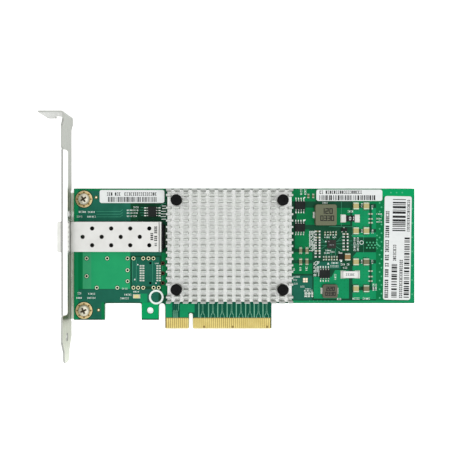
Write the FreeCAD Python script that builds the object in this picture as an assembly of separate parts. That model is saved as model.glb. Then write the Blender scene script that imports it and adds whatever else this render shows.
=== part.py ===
import FreeCAD, Part
import math
import os

# A low-profile ten-gigabit network card with one module port, fitted with a full-height bracket.
# X = 0 is the middle of the key notch, Y = 0 the tips of the edge fingers, and Z = 0 the
# component face of the board.  +X runs to the far end, +Y to the top edge, +Z out of the parts.

Vector = FreeCAD.Vector

# Roundings too small or too many to be true arcs
corner_chord_count = 3
bore_flat_count = 10
head_flat_count = 16
same_point = 1e-6
nearly_half = 0.99

# Board
board_thickness = 1.57
board_left = -57.45
board_length = 167.25
board_top = 68.9
board_lower_edge = 12.6
tab_lower_edge = 4.4
left_tab_width = 15.15
middle_tab_left = -24.2
middle_tab_width = 8.45
gap_corner_radius = 0.8
middle_tab_hole_diameter = 3.2
middle_tab_hole_height = 9.0

# Edge fingers
key_width = 1.9
key_depth = 7.75
short_segment_length = 11.65
long_segment_length = 38.65
finger_corner_chamfer = 0.5
finger_bevel_depth = 0.3
finger_bevel_length = 0.45
contact_pitch = 1.0
contact_width = 0.7
contact_top = 5.2
contact_thickness = 0.05
first_contact_from_key = 1.5
short_contact_cutback = 1.1
component_side_short_contacts = (17, 31, 48)
solder_side_short_contacts = (1,)

# Bracket
sheet = 0.86
bend_outer_radius = 1.3
bracket_gap = 1.69
bracket_length = 120.02
bracket_width = 18.42
bracket_top = 105.0
tab_reach = 11.43
tab_width = 19.05
tab_recess = 2.6
ear_length = 4.0
ear_slope_length = 3.3
outline_corner_radius = 1.0
shoulder_from_tip = 10.82
shoulder_slope_length = 5.2
tongue_width = 10.19
tongue_tip_radius = 3.0
foot_hole_diameter = 4.2
foot_hole_above_shoulder = 1.4
lip_bottom = 8.7
lip_top = 86.3
lip_width = 3.2
lip_corner_radius = 1.4
relief_width = 1.0
flange_bottom = 4.7
flange_top = 66.9
flange_depth = 2.9
flange_ear_depth = 11.2
flange_ear_height = 9.6
notch_width = 4.42
notch_from_face = 5.08
notch_depth = 6.5
port_cutout_margin = 1.55
port_cutout_top_margin = 0.9
port_cutout_bottom_margin = 0.1
port_cutout_corner = 0.5
lamp_window_width = 3.7
lamp_window_height = 5.2
lamp_window_centre = (56.5, 2.0)

# Bracket screws
screw_x = -52.5
low_screw_above_flange = 4.3
high_screw_below_flange = 3.2
screw_thread_diameter = 3.0
screw_board_hole_diameter = 3.2
screw_thread_clearance = 0.05
screw_length = 3.4
screw_head_diameter = 5.5
screw_head_height = 2.0

# Controller chip and heatsink
cooling_centre_x = 18.95
cooling_centre_y = 41.0
chip_size = 25.0
chip_substrate_thickness = 1.1
chip_cap_size = 19.0
chip_cap_thickness = 1.5
pad_thickness = 0.5
heatsink_length = 60.0
heatsink_width = 54.2
heatsink_base = 2.0
heatsink_top = 13.0
fin_thickness = 1.0
fin_pitch = 3.024
fin_count = 17
edge_pin_length = 2.02
cross_cut_width = 1.75
cross_cut_count = 14
pocket_diameter = 5.9
pin_spacing_x = 50.5
pin_spacing_y = 42.5
pin_row_offset = 0.6

# Push pins and their springs
pin_shank_width = 2.5
pin_shank_depth = 1.8
pin_hole_diameter = 3.2
pin_head_diameter = 5.4
pin_head_thickness = 1.7
pin_head_top = 13.7
barb_width = 4.1
barb_length = 3.2
barb_tip_width = 1.9
pin_slot_width = 0.8
pin_slot_above_board = 1.2
spring_wire = 0.45
spring_inner_diameter = 4.0
spring_turn_count = 3
spring_step_count = 5
spring_end_clearance = 0.06

# Module cage
cage_sheet = 0.25
cage_width = 14.3
cage_height = 9.8
cage_front = -63.2
cage_rear_overlap = 0.9
cage_centre_y = 45.35
cage_vent_count = 4
cage_vent_diameter = 2.0
cage_vent_pitch = 9.08
cage_vent_row_spacing = 4.0
cage_first_vent = -51.1
cage_floor_clearance = 2.0
cage_flange_height = 2.2
cage_flange_front = -55.5
cage_rear_opening_height = 5.6
cage_seam_width = 0.16
cage_seam_from_rear = 0.75
cage_seam_margin = 1.2
front_leg_from_mouth = 13.2
rear_leg_from_rear = 3.35
leg_width = 0.8
leg_length = 3.2
leg_hole_length = 1.1
leg_hole_width = 0.5
leg_slot_end_clearance = 0.15
leg_slot_side_clearance = 0.02
latch_window_size = 4.2
latch_window_x = -55.4

# Ground fingers round the mouth of the cage
collar_sheet = 0.12
collar_band_front = -62.9
collar_band_length = 1.2
ground_finger_length = 4.2
ground_finger_width = 1.7
ground_finger_gap = 0.6
ground_finger_crest = 0.5
ground_finger_clearance = 0.08

# Module connector
connector_length = 8.85
connector_heatsink_clearance = 1.7
connector_width = 11.8
connector_height = 5.4
connector_slot_width = 9.6
connector_slot_height = 1.3
connector_slot_middle = 3.2
connector_slot_depth = 5.0
connector_contact_count = 10
connector_contact_pitch = 0.8
connector_contact_width = 0.35
connector_tail_length = 0.9
connector_tail_thickness = 0.18

# Eight-lead packages: the memory chip and three power transistors
so8_length = 4.9
so8_width = 3.9
so8_standoff = 0.1
so8_height = 1.6
so8_lead_count = 4
so8_lead_pitch = 1.27
so8_lead_width = 0.42
so8_lead_thickness = 0.16
so8_lead_reach = 1.05
so8_lead_root = 0.85
so8_lead_knee = 0.45
memory_chip_place = (-18.9, 57.5)
power_transistor_places = ((53.5, 60.6), (53.4, 49.7), (65.6, 27.0))

# Power parts
controller_place = (69.0, 41.6)
controller_size = 4.1
controller_height = 0.9
large_inductor_place = (65.7, 55.9)
large_inductor_size = (10.2, 10.1, 4.8)
small_inductor_place = (68.0, 18.7)
small_inductor_size = (7.2, 6.5, 3.0)
inductor_corner_radius = 0.9
inductor_standoff = 0.1
inductor_clip_width = 3.0
inductor_clip_height = 1.8
inductor_clip_foot = 0.5
inductor_clip_sheet = 0.2
sense_resistor_place = (78.2, 54.2)
sense_resistor_size = (9.0, 3.4, 0.7)
sense_resistor_end = 2.35
sense_resistor_body_width = 2.9
fuse_place = (78.2, 26.7)
fuse_size = (9.0, 3.4, 1.0)
fuse_end = 1.35
transistor_place = (75.1, 48.7)
transistor_size = (2.9, 1.5, 1.0)
transistor_lead_spread = 0.95
transistor_lead_width = 0.4
transistor_lead_reach = 0.5
transistor_lead_height = 0.5
diode_place = (73.6, 35.5)
diode_size = (2.4, 2.9, 1.1)
diode_tab_reach = 0.5
diode_tab_width = 1.4
diode_tab_height = 0.3
status_lamp_place = (-26.6, 16.0)
status_lamp_size = (3.2, 1.6, 0.8)
status_lamp_end = 0.5

# Chip capacitors: (length, width, height, end cap)
large_capacitor_size = (3.3, 2.7, 2.0, 0.55)
medium_capacitor_size = (2.9, 1.5, 1.1, 0.45)
small_capacitor_size = (1.9, 1.1, 0.8, 0.35)
bank_columns = (80.8, 85.85)
bank_rows = (60.3, 48.2, 33.0, 19.9)
input_capacitor_place = (76.7, 35.4)
medium_capacitor_columns = (53.8, 56.9)
medium_capacitor_rows = (38.5, 33.0)
small_capacitor_places = ((57.6, 65.2), (60.0, 65.2))

# Labels: (middle x, middle y, length along x, length along y, turn in degrees)
label_thickness = 0.1
label_corner_radius = 1.0
left_label = (-28.9, 65.0, 31.8, 6.4, 0.0)
right_label = (77.8, 65.6, 32.4, 5.6, 0.0)
long_label = (101.4, 39.7, 13.3, 50.9, -0.95)

# Places worked out from the sizes above
board_right = board_left + board_length
screw_heights = (flange_bottom + low_screw_above_flange, flange_top - high_screw_below_flange)
finger_left = -key_width / 2 - short_segment_length
finger_right = key_width / 2 + long_segment_length
middle_tab_right = middle_tab_left + middle_tab_width
face_inner = board_left - bracket_gap
face_outer = face_inner - sheet
bend_inner_radius = bend_outer_radius - sheet
far_edge = -board_thickness - sheet
near_edge = far_edge + bracket_width
bracket_middle = (near_edge + far_edge) / 2
tab_near = near_edge - tab_recess
tab_far = tab_near - tab_width
bracket_tip = bracket_top - bracket_length
shoulder_height = bracket_tip + shoulder_from_tip
chip_height = chip_substrate_thickness + chip_cap_thickness
cross_cut_pitch = (heatsink_length - cross_cut_width - 2 * edge_pin_length) / (cross_cut_count - 1)
heatsink_bottom = chip_height + pad_thickness
heatsink_floor = heatsink_bottom + heatsink_base
pin_head_bottom = pin_head_top - pin_head_thickness
connector_rear = cooling_centre_x - heatsink_length / 2 - connector_heatsink_clearance
connector_front = connector_rear - connector_length
cage_rear = connector_rear - cage_rear_overlap
cage_floor_rear = connector_front - cage_floor_clearance
front_leg_x = cage_front + front_leg_from_mouth
rear_leg_x = cage_rear - rear_leg_from_rear
leg_positions = (front_leg_x, (front_leg_x + rear_leg_x) / 2, rear_leg_x)
cage_low = cage_centre_y - cage_width / 2
cage_high = cage_centre_y + cage_width / 2


def block(x, y, z):
    """Box between the pairs x, y and z."""
    return Part.makeBox(x[1] - x[0], y[1] - y[0], z[1] - z[0], Vector(x[0], y[0], z[0]))


def centred_block(place, size, z0=0.0):
    """Box of size (x, y, z) whose middle stands over place, from z0 up to size[2]."""
    half_x = size[0] / 2
    half_y = size[1] / 2
    span_x = (place[0] - half_x, place[0] + half_x)
    return block(span_x, (place[1] - half_y, place[1] + half_y), (z0, size[2]))


def rod(place, z, diameter):
    """Upright round bar over place between the heights z."""
    return Part.makeCylinder(diameter / 2, z[1] - z[0], Vector(place[0], place[1], z[0]))


def joined(shapes):
    """One solid from shapes that touch or overlap, with the seams between flat faces removed."""
    return shapes[0].fuse(shapes[1:]).removeSplitter()


def corner_points(back, here, ahead, radius, chords):
    """Points along a rounded corner: its ends and chord ends, or for a true arc its ends and middle."""
    to_back = (back - here).normalize()
    to_ahead = (ahead - here).normalize()
    half_angle = to_back.getAngle(to_ahead) / 2
    start = here + to_back * (radius / math.tan(half_angle))
    centre = here + (to_back + to_ahead).normalize() * (radius / math.sin(half_angle))
    sweep = math.pi - 2 * half_angle
    if to_back.cross(to_ahead).z > 0:
        sweep = -sweep
    steps = chords or 2
    up = Vector(0, 0, 1)
    spokes = [FreeCAD.Rotation(up, math.degrees(sweep * step / steps)) for step in range(steps + 1)]
    return [centre + spoke.multVec(start - centre) for spoke in spokes]


def outline_face(corners, to_space, chords=0):
    """Face inside the corners (u, v, radius); to_space places a point of it in the model.

    Rounded corners are true arcs, or that many short chords where chords is given.
    """
    flat = [Vector(u, v, 0) for u, v, _ in corners]
    count = len(corners)
    edges = []
    runs = []
    for index, here in enumerate(flat):
        radius = corners[index][2]
        if radius:
            runs.append(corner_points(flat[index - 1], here, flat[(index + 1) % count], radius, chords))
        else:
            runs.append([here])
    last = runs[-1][-1]
    for run in runs:
        placed = [to_space(point.x, point.y) for point in run]
        if last.distanceToPoint(run[0]) > same_point:
            edges.append(Part.makeLine(to_space(last.x, last.y), placed[0]))
        if len(run) > 1 and not chords:
            edges.append(Part.Arc(*placed).toShape())
        else:
            edges += [Part.makeLine(a, b) for a, b in zip(placed, placed[1:])]
        last = run[-1]
    return Part.Face(Part.Wire(edges))


def plate(corners, z, chords=0):
    """Flat plate in the plane of the board between the heights z."""
    face = outline_face(corners, lambda u, v: Vector(u, v, z[0]), chords)
    return face.extrude(Vector(0, 0, z[1] - z[0]))


def flatted_rod(place, z, diameter, flats):
    """Upright bar whose flats touch the circle of the diameter."""
    radius = diameter / 2 / math.cos(math.pi / flats)
    turns = [2 * math.pi * step / flats for step in range(flats)]
    points = [Vector(place[0] + radius * math.cos(t), place[1] + radius * math.sin(t), z[0]) for t in turns]
    return Part.Face(Part.makePolygon(points + points[:1])).extrude(Vector(0, 0, z[1] - z[0]))


def bore(place, z, diameter):
    """Cutter for a small drilled hole."""
    return flatted_rod(place, z, diameter, bore_flat_count)


def rectangle(x, y, radius):
    """Corners of a rectangle with all four corners rounded."""
    return [(x[0], y[0], radius), (x[1], y[0], radius), (x[1], y[1], radius), (x[0], y[1], radius)]


def pin_places():
    """Centres of the four holes that hold the heatsink."""
    centre_y = cooling_centre_y + pin_row_offset
    places = []
    for side_x in (-1, 1):
        for side_y in (-1, 1):
            x = cooling_centre_x + side_x * pin_spacing_x / 2
            y = centre_y + side_y * pin_spacing_y / 2
            places.append((x, y))
    return places


def screw_places():
    return [(screw_x, height) for height in screw_heights]


def leg_places():
    """Centres of the cage legs, in its two side walls."""
    low_wall = cage_low + cage_sheet / 2
    high_wall = cage_high - cage_sheet / 2
    return [(x, y) for x in leg_positions for y in (low_wall, high_wall)]


def circuit_board():
    slot_radius = (finger_left - middle_tab_right) / 2
    key_radius = key_width / 2
    left_tab_right = board_left + left_tab_width
    corners = [
        (board_left, board_top, 0),
        (board_left, tab_lower_edge, 0),
        (left_tab_right, tab_lower_edge, 0),
        (left_tab_right, board_lower_edge, gap_corner_radius),
        (middle_tab_left, board_lower_edge, gap_corner_radius),
        (middle_tab_left, tab_lower_edge, 0),
        (middle_tab_right, tab_lower_edge, 0),
        (middle_tab_right, board_lower_edge, slot_radius * nearly_half),
        (finger_left, board_lower_edge, slot_radius * nearly_half),
        (finger_left, finger_corner_chamfer, 0),
        (finger_left + finger_corner_chamfer, 0, 0),
        (-key_radius - finger_corner_chamfer, 0, 0),
        (-key_radius, finger_corner_chamfer, 0),
        (-key_radius, key_depth, key_radius * nearly_half),
        (key_radius, key_depth, key_radius * nearly_half),
        (key_radius, finger_corner_chamfer, 0),
        (key_radius + finger_corner_chamfer, 0, 0),
        (finger_right - finger_corner_chamfer, 0, 0),
        (finger_right, finger_corner_chamfer, 0),
        (finger_right, board_lower_edge, gap_corner_radius),
        (board_right, board_lower_edge, 0),
        (board_right, board_top, 0),
    ]
    through = (-board_thickness, 0)
    board = plate(corners, through, corner_chord_count)
    tab_hole = (middle_tab_left + middle_tab_width / 2, middle_tab_hole_height)
    holes = [rod(tab_hole, through, middle_tab_hole_diameter)]
    holes += [bore(place, through, screw_board_hole_diameter) for place in screw_places()]
    holes += [bore(place, through, pin_hole_diameter) for place in pin_places()]
    leg_hole = (leg_hole_length, leg_hole_width, 0)
    holes += [centred_block(place, leg_hole, -board_thickness) for place in leg_places()]
    return board.cut(holes + finger_bevels())


def finger_bevels():
    """Wedges that bevel the finger tips on both faces, so that the card slides into its socket."""
    bevels = []
    for face, inward in ((0, -1), (-board_thickness, 1)):
        wedge = Part.Face(Part.makePolygon([
            Vector(finger_left, 0, face),
            Vector(finger_left, finger_bevel_length, face),
            Vector(finger_left, 0, face + inward * finger_bevel_depth),
            Vector(finger_left, 0, face),
        ]))
        bevels.append(wedge.extrude(Vector(finger_right - finger_left, 0, 0)))
    return bevels


def contact_positions():
    """Pairs of contact number and x along both segments, numbered from the bracket end."""
    short_count = round(short_segment_length - contact_width)
    long_count = round(long_segment_length - contact_width)
    pairs = []
    for step in range(short_count):
        pairs.append((short_count - step, -first_contact_from_key - step * contact_pitch))
    for step in range(long_count):
        pairs.append((short_count + 1 + step, first_contact_from_key + step * contact_pitch))
    return pairs


def edge_contacts(z, short_contacts):
    contacts = []
    for number, x in contact_positions():
        bottom = finger_bevel_length
        if number in short_contacts:
            bottom += short_contact_cutback
        contacts.append(block((x - contact_width / 2, x + contact_width / 2), (bottom, contact_top), z))
    return contacts


def bracket_outline():
    """Flat face of the bracket between its bends, as (y, z) corners."""
    low = bracket_middle - tongue_width / 2
    high = bracket_middle + tongue_width / 2
    bend_start = bracket_top - bend_outer_radius
    ear_end = bracket_top - ear_length
    ear_root = ear_end - ear_slope_length
    shoulder = shoulder_height
    tongue_root = shoulder_height - shoulder_slope_length
    corner = outline_corner_radius
    return [
        (bend_start, tab_near, 0),
        (bend_start, tab_far, 0),
        (ear_end, tab_far, corner),
        (ear_root, far_edge, corner),
        (shoulder, far_edge, 2 * corner),
        (tongue_root, low, 2 * corner),
        (bracket_tip, low, tongue_tip_radius),
        (bracket_tip, high, tongue_tip_radius),
        (tongue_root, high, 2 * corner),
        (shoulder, near_edge, 2 * corner),
        (ear_root, near_edge, corner),
        (ear_end, tab_near, corner),
    ]


def folded_edge(edge_z, toward_middle, depth, y):
    """Strip folded inward along a long edge of the face; toward_middle is +1 or -1 in z."""
    inside = edge_z + toward_middle * sheet
    bend_start = edge_z + toward_middle * bend_outer_radius
    corners = [
        (face_outer, bend_start, 0),
        (face_outer, edge_z, bend_outer_radius),
        (face_outer + depth, edge_z, 0),
        (face_outer + depth, inside, 0),
        (face_inner, inside, bend_inner_radius),
        (face_inner, bend_start, 0),
    ]
    section = outline_face(corners, lambda u, v: Vector(u, y[0], v))
    return section.extrude(Vector(0, y[1] - y[0], 0))


def bracket_lip():
    """Stiffening lip on the edge nearest the viewer of the parts, with rounded free corners."""
    strip = folded_edge(near_edge, -1, lip_width, (lip_bottom, lip_top))
    free_edge = face_outer + lip_width
    trim = plate([
        (face_outer, lip_bottom, 0),
        (free_edge, lip_bottom, lip_corner_radius),
        (free_edge, lip_top, lip_corner_radius),
        (face_outer, lip_top, 0),
    ], (near_edge - bend_outer_radius, near_edge), corner_chord_count)
    return strip.common(trim)


def bracket_flange():
    """Mounting flange under the board: two ears with threaded holes, joined by a narrow strip."""
    strip = folded_edge(far_edge, 1, flange_ear_depth, (flange_bottom, flange_top))
    ear_tip = face_outer + flange_ear_depth
    strip_edge = face_outer + flange_depth
    waist = plate(rectangle(
        (strip_edge, ear_tip + outline_corner_radius * 2),
        (flange_bottom + flange_ear_height, flange_top - flange_ear_height),
        outline_corner_radius), (far_edge, far_edge + sheet), corner_chord_count)
    trim = plate([
        (face_outer, flange_bottom, 0),
        (ear_tip, flange_bottom, outline_corner_radius),
        (ear_tip, flange_top, outline_corner_radius),
        (face_outer, flange_top, 0),
    ], (far_edge, far_edge + bend_outer_radius), corner_chord_count)
    threads = [bore(place, (far_edge, far_edge + sheet), screw_thread_diameter) for place in screw_places()]
    return strip.common(trim).cut([waist] + threads)


def bracket_tab():
    """Tab bent outward at the top, with the open notch for the chassis screw."""
    bend_start = bracket_top - bend_outer_radius
    tab_end = face_outer - tab_reach
    corners = [
        (face_inner, bend_start, 0),
        (face_inner, bracket_top, bend_outer_radius),
        (tab_end, bracket_top, 0),
        (tab_end, bracket_top - sheet, 0),
        (face_outer, bracket_top - sheet, bend_inner_radius),
        (face_outer, bend_start, 0),
    ]
    section = outline_face(corners, lambda u, v: Vector(u, v, tab_far))
    tab = section.extrude(Vector(0, 0, tab_width))
    notch_x = face_outer - notch_from_face
    half = notch_width / 2
    notch_end = tab_far + notch_depth
    notch = outline_face([
        (notch_x - half, tab_far, 0),
        (notch_x + half, tab_far, 0),
        (notch_x + half, notch_end, half * nearly_half),
        (notch_x - half, notch_end, half * nearly_half),
    ], lambda u, v: Vector(u, bracket_top - sheet, v), corner_chord_count)
    return tab.cut(notch.extrude(Vector(0, sheet, 0)))


def face_opening(y, z, radius):
    """Cutter through the flat face with rounded corners."""
    face = outline_face(rectangle(y, z, radius), lambda u, v: Vector(face_outer, u, v), corner_chord_count)
    return face.extrude(Vector(sheet, 0, 0))


def bracket_openings():
    """Everything cut through the flat face."""
    port = face_opening((cage_low - port_cutout_margin, cage_high + port_cutout_margin),
                        (-port_cutout_bottom_margin, cage_height + port_cutout_top_margin), port_cutout_corner)
    window_y, window_z = lamp_window_centre
    half_y = lamp_window_width / 2
    half_z = lamp_window_height / 2
    window = face_opening((window_y - half_y, window_y + half_y), (window_z - half_z, window_z + half_z),
                          half_y * nearly_half)
    foot_hole_place = Vector(face_outer, shoulder_height + foot_hole_above_shoulder, bracket_middle)
    foot_hole = Part.makeCylinder(foot_hole_diameter / 2, sheet, foot_hole_place, Vector(1, 0, 0))
    through = (face_outer, face_inner)
    lip_room = block(through, (lip_bottom - relief_width, lip_top + relief_width),
                     (near_edge - bend_outer_radius, near_edge))
    flange_room = block(through, (flange_bottom - relief_width, flange_top + relief_width),
                        (far_edge, far_edge + bend_outer_radius))
    return [port, window, foot_hole, lip_room, flange_room]


def bracket():
    face = outline_face(bracket_outline(), lambda u, v: Vector(face_outer, u, v), corner_chord_count)
    face = face.extrude(Vector(sheet, 0, 0))
    face = face.cut(bracket_openings())
    return joined([face, bracket_tab(), bracket_lip(), bracket_flange()])


def bracket_screw(place):
    """Pan-head screw seated on the component face; its thread and drive recess are finish detail."""
    head = flatted_rod(place, (0, screw_head_height), screw_head_diameter, head_flat_count)
    shank = bore(place, (-screw_length, 0), screw_thread_diameter - 2 * screw_thread_clearance)
    return joined([head, shank])


def controller_chip():
    """Flip-chip package: square substrate with a smaller moulded cap."""
    place = (cooling_centre_x, cooling_centre_y)
    substrate = centred_block(place, (chip_size, chip_size, chip_substrate_thickness))
    cap = centred_block(place, (chip_cap_size, chip_cap_size, chip_height), chip_substrate_thickness)
    return joined([substrate, cap])


def thermal_pad():
    place = (cooling_centre_x, cooling_centre_y)
    return centred_block(place, (chip_cap_size, chip_cap_size, heatsink_bottom), chip_height)


def fin_rows():
    """Middle lines of the fins: an even row, and one more flush with each long edge."""
    half_run = (fin_count - 1) * fin_pitch / 2
    rows = [cooling_centre_y - half_run + index * fin_pitch for index in range(fin_count)]
    edge = heatsink_width / 2 - fin_thickness / 2
    return [cooling_centre_y - edge] + rows + [cooling_centre_y + edge]


def pin_columns():
    """Spans in x of the pins that the cross cuts leave of each fin."""
    half = heatsink_length / 2
    spans = []
    start = -half
    for index in range(cross_cut_count):
        middle = (index - (cross_cut_count - 1) / 2) * cross_cut_pitch
        spans.append((start, middle - cross_cut_width / 2))
        start = middle + cross_cut_width / 2
    spans.append((start, half))
    return [(cooling_centre_x + a, cooling_centre_x + b) for a, b in spans]


def clear_of_pockets(span, y):
    """Whether a pin of the heatsink stands outside the pockets that hold the push pins."""
    for place in pin_places():
        away_x = max(span[0] - place[0], place[0] - span[1], 0)
        away_y = max(abs(y - place[1]) - fin_thickness / 2, 0)
        if math.hypot(away_x, away_y) < pocket_diameter / 2:
            return False
    return True


def heatsink():
    """Extruded fins, sawn across into pins, on one base with four pockets for the push pins."""
    half_x = heatsink_length / 2
    half_y = heatsink_width / 2
    base = block((cooling_centre_x - half_x, cooling_centre_x + half_x),
                 (cooling_centre_y - half_y, cooling_centre_y + half_y),
                 (heatsink_bottom, heatsink_floor))
    half_fin = fin_thickness / 2
    pins = []
    for y in fin_rows():
        for span in pin_columns():
            if clear_of_pockets(span, y):
                pins.append(block(span, (y - half_fin, y + half_fin), (heatsink_floor, heatsink_top)))
    holes = [bore(place, (heatsink_bottom, heatsink_floor), pin_hole_diameter) for place in pin_places()]
    return base.cut(holes).fuse(pins).removeSplitter()


def push_pin(place):
    """Nylon push pin: round head on a flat-sided, split shank that ends in a barb below the board."""
    x, y = place
    under_board = -board_thickness
    half = pin_shank_width / 2
    slit = pin_slot_width / 2
    barb = barb_width / 2
    tip = barb_tip_width / 2
    bottom = under_board - barb_length
    slit_top = pin_slot_above_board
    shank = outline_face([
        (x - half, pin_head_bottom, 0), (x - half, under_board, 0), (x - barb, under_board, 0),
        (x - tip, bottom, 0), (x - slit, bottom, 0), (x - slit, slit_top, 0),
        (x + slit, slit_top, 0), (x + slit, bottom, 0), (x + tip, bottom, 0),
        (x + barb, under_board, 0), (x + half, under_board, 0), (x + half, pin_head_bottom, 0),
    ], lambda u, v: Vector(u, y - pin_shank_depth / 2, v)).extrude(Vector(0, pin_shank_depth, 0))
    head = flatted_rod(place, (pin_head_bottom, pin_head_top), pin_head_diameter, head_flat_count)
    return joined([head, shank])


def pin_spring(place):
    """Coil spring between the heatsink base and the pin head, wound from short straight lengths."""
    half_wire = spring_wire / 2
    radius = spring_inner_diameter / 2 + half_wire
    lowest = heatsink_floor + half_wire
    rise = pin_head_bottom - heatsink_floor - spring_wire - spring_end_clearance
    steps = spring_turn_count * spring_step_count
    path = []
    for step in range(steps + 1):
        turn = 2 * math.pi * step / spring_step_count
        height = lowest + rise * step / steps
        path.append(Vector(place[0] + radius * math.cos(turn), place[1] + radius * math.sin(turn), height))
    start = path[0]
    sides = ((-half_wire, -half_wire), (half_wire, -half_wire), (half_wire, half_wire), (-half_wire, half_wire))
    corners = [start + Vector(dx, 0, dz) for dx, dz in sides]
    section = Part.makePolygon(corners + corners[:1])
    return Part.makePolygon(path).makePipeShell([section], True, True, 1)


def cage_vents():
    """Round vents in three staggered rows through the top of the cage."""
    vents = []
    top = (cage_height - cage_sheet, cage_height)
    for index in range(cage_vent_count):
        middle_x = cage_first_vent + index * cage_vent_pitch
        vents.append(bore((middle_x, cage_centre_y), top, cage_vent_diameter))
        for side in (-1, 1):
            place = (middle_x + cage_vent_pitch / 2, cage_centre_y + side * cage_vent_row_spacing)
            vents.append(bore(place, top, cage_vent_diameter))
    return vents


def cage_shell():
    """Upper half of the cage: top, both sides, a short rear wall and the legs."""
    outer = block((cage_front, cage_rear), (cage_low, cage_high), (cage_sheet, cage_height))
    inner = block((cage_front, cage_rear - cage_sheet),
                  (cage_low + cage_sheet, cage_high - cage_sheet), (cage_sheet, cage_height - cage_sheet))
    rear_gap = block((cage_rear - cage_sheet, cage_rear),
                     (cage_low + cage_sheet, cage_high - cage_sheet), (cage_sheet, cage_rear_opening_height))
    seam_x = cage_rear - cage_seam_from_rear
    seam_y = (cage_low + cage_seam_margin, cage_high - cage_seam_margin)
    seam = block((seam_x - cage_seam_width, seam_x), seam_y, (cage_height - cage_sheet, cage_height))
    shell = outer.cut([inner, rear_gap, seam] + cage_vents())
    legs = [centred_block(place, (leg_width, cage_sheet, cage_sheet), -leg_length) for place in leg_places()]
    return joined([shell] + legs)


def cage_floor():
    """Lower half of the cage: floor with the latch window, and low flanges outside the walls."""
    floor = block((cage_front, cage_floor_rear), (cage_low, cage_high), (0, cage_sheet))
    flange_z = (0, cage_flange_height)
    flange_x = (cage_flange_front, cage_floor_rear)
    low_flange = block(flange_x, (cage_low - cage_sheet, cage_low), flange_z)
    high_flange = block(flange_x, (cage_high, cage_high + cage_sheet), flange_z)
    side = latch_window_size / math.sqrt(2)
    window = Part.makeBox(side, side, cage_sheet)
    window.rotate(Vector(0, 0, 0), Vector(0, 0, 1), 45)
    window.translate(Vector(latch_window_x, cage_centre_y - latch_window_size / 2, 0))
    slot_size = (leg_width + 2 * leg_slot_end_clearance, cage_sheet + 2 * leg_slot_side_clearance, cage_sheet)
    leg_slots = [centred_block(place, slot_size) for place in leg_places()]
    return joined([floor, low_flange, high_flange]).cut([window] + leg_slots)


def ground_finger(height):
    """Bowed strip as (x, height) corners, from the band up to its crest and down to the cage wall."""
    front = collar_band_front + collar_band_length
    crest = front + ground_finger_length * ground_finger_crest
    rear = front + ground_finger_length
    return [
        (front, 0, 0), (crest, height - collar_sheet, 0), (rear, 0, 0),
        (rear, collar_sheet, 0), (crest, height, 0), (front, collar_sheet, 0),
    ]


def finger_starts(run):
    """Low ends of the evenly spaced ground fingers along a side of length run."""
    step = ground_finger_width + ground_finger_gap
    count = int((run + ground_finger_gap) / step)
    margin = (run - count * step + ground_finger_gap) / 2
    return [margin + index * step for index in range(count)]


def cage_ground_collar():
    """Spring collar round the mouth of the cage, bowed out against the cut-out in the bracket."""
    band_x = (collar_band_front, collar_band_front + collar_band_length)
    band = block(band_x, (cage_low - collar_sheet, cage_high + collar_sheet),
                 (-collar_sheet, cage_height + collar_sheet))
    band = band.cut(block(band_x, (cage_low, cage_high), (0, cage_height)))
    top_height = port_cutout_top_margin - ground_finger_clearance
    side_height = port_cutout_margin - ground_finger_clearance
    pieces = [band]
    for start in finger_starts(cage_width):
        section = outline_face(ground_finger(top_height),
                               lambda u, v: Vector(u, cage_low + start, cage_height + v))
        pieces.append(section.extrude(Vector(0, ground_finger_width, 0)))
    for start in finger_starts(cage_height):
        low_side = outline_face(ground_finger(side_height), lambda u, v: Vector(u, cage_low - v, start))
        high_side = outline_face(ground_finger(side_height), lambda u, v: Vector(u, cage_high + v, start))
        pieces.append(low_side.extrude(Vector(0, 0, ground_finger_width)))
        pieces.append(high_side.extrude(Vector(0, 0, ground_finger_width)))
    return joined(pieces)


def module_connector():
    """Housing at the back of the cage with the slot for the module's card edge."""
    half = connector_width / 2
    body = block((connector_front, connector_rear), (cage_centre_y - half, cage_centre_y + half),
                 (0, connector_height))
    slot_half = connector_slot_width / 2
    slot_bottom = connector_slot_middle - connector_slot_height / 2
    slot = block((connector_front, connector_front + connector_slot_depth),
                 (cage_centre_y - slot_half, cage_centre_y + slot_half),
                 (slot_bottom, slot_bottom + connector_slot_height))
    return body.cut(slot)


def connector_contacts():
    """Flat solder tails under the front and rear walls of the connector."""
    contacts = []
    half = connector_contact_width / 2
    first = cage_centre_y - (connector_contact_count - 1) * connector_contact_pitch / 2
    for index in range(connector_contact_count):
        y = first + index * connector_contact_pitch
        span = (y - half, y + half)
        tail_z = (0, connector_tail_thickness)
        contacts.append(block((connector_front - connector_tail_length, connector_front), span, tail_z))
        contacts.append(block((connector_rear, connector_rear + connector_tail_length), span, tail_z))
    return contacts


def so8_body(place, leads_along_y):
    size = (so8_length, so8_width) if leads_along_y else (so8_width, so8_length)
    return centred_block(place, size + (so8_height,), so8_standoff)


def so8_leads(place, leads_along_y):
    """Eight gull-wing leads; they reach out along y, or along x."""
    side_wall = so8_width / 2
    thick = so8_lead_thickness
    leads = []
    for side in (-1, 1):
        for index in range(so8_lead_count):
            along = (index - (so8_lead_count - 1) / 2) * so8_lead_pitch
            corners = [
                (side_wall, so8_lead_root, 0),
                (side_wall + so8_lead_knee, so8_lead_root, 0),
                (side_wall + so8_lead_reach, thick, 0),
                (side_wall + so8_lead_reach, 0, 0),
                (side_wall + so8_lead_knee, 0, 0),
                (side_wall, so8_lead_root - thick, 0),
            ]
            if leads_along_y:
                start = place[0] + along - so8_lead_width / 2
                face = outline_face(corners, lambda u, v: Vector(start, place[1] + side * u, v))
                leads.append(face.extrude(Vector(so8_lead_width, 0, 0)))
            else:
                start = place[1] + along - so8_lead_width / 2
                face = outline_face(corners, lambda u, v: Vector(place[0] + side * u, start, v))
                leads.append(face.extrude(Vector(0, so8_lead_width, 0)))
    return leads


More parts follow.
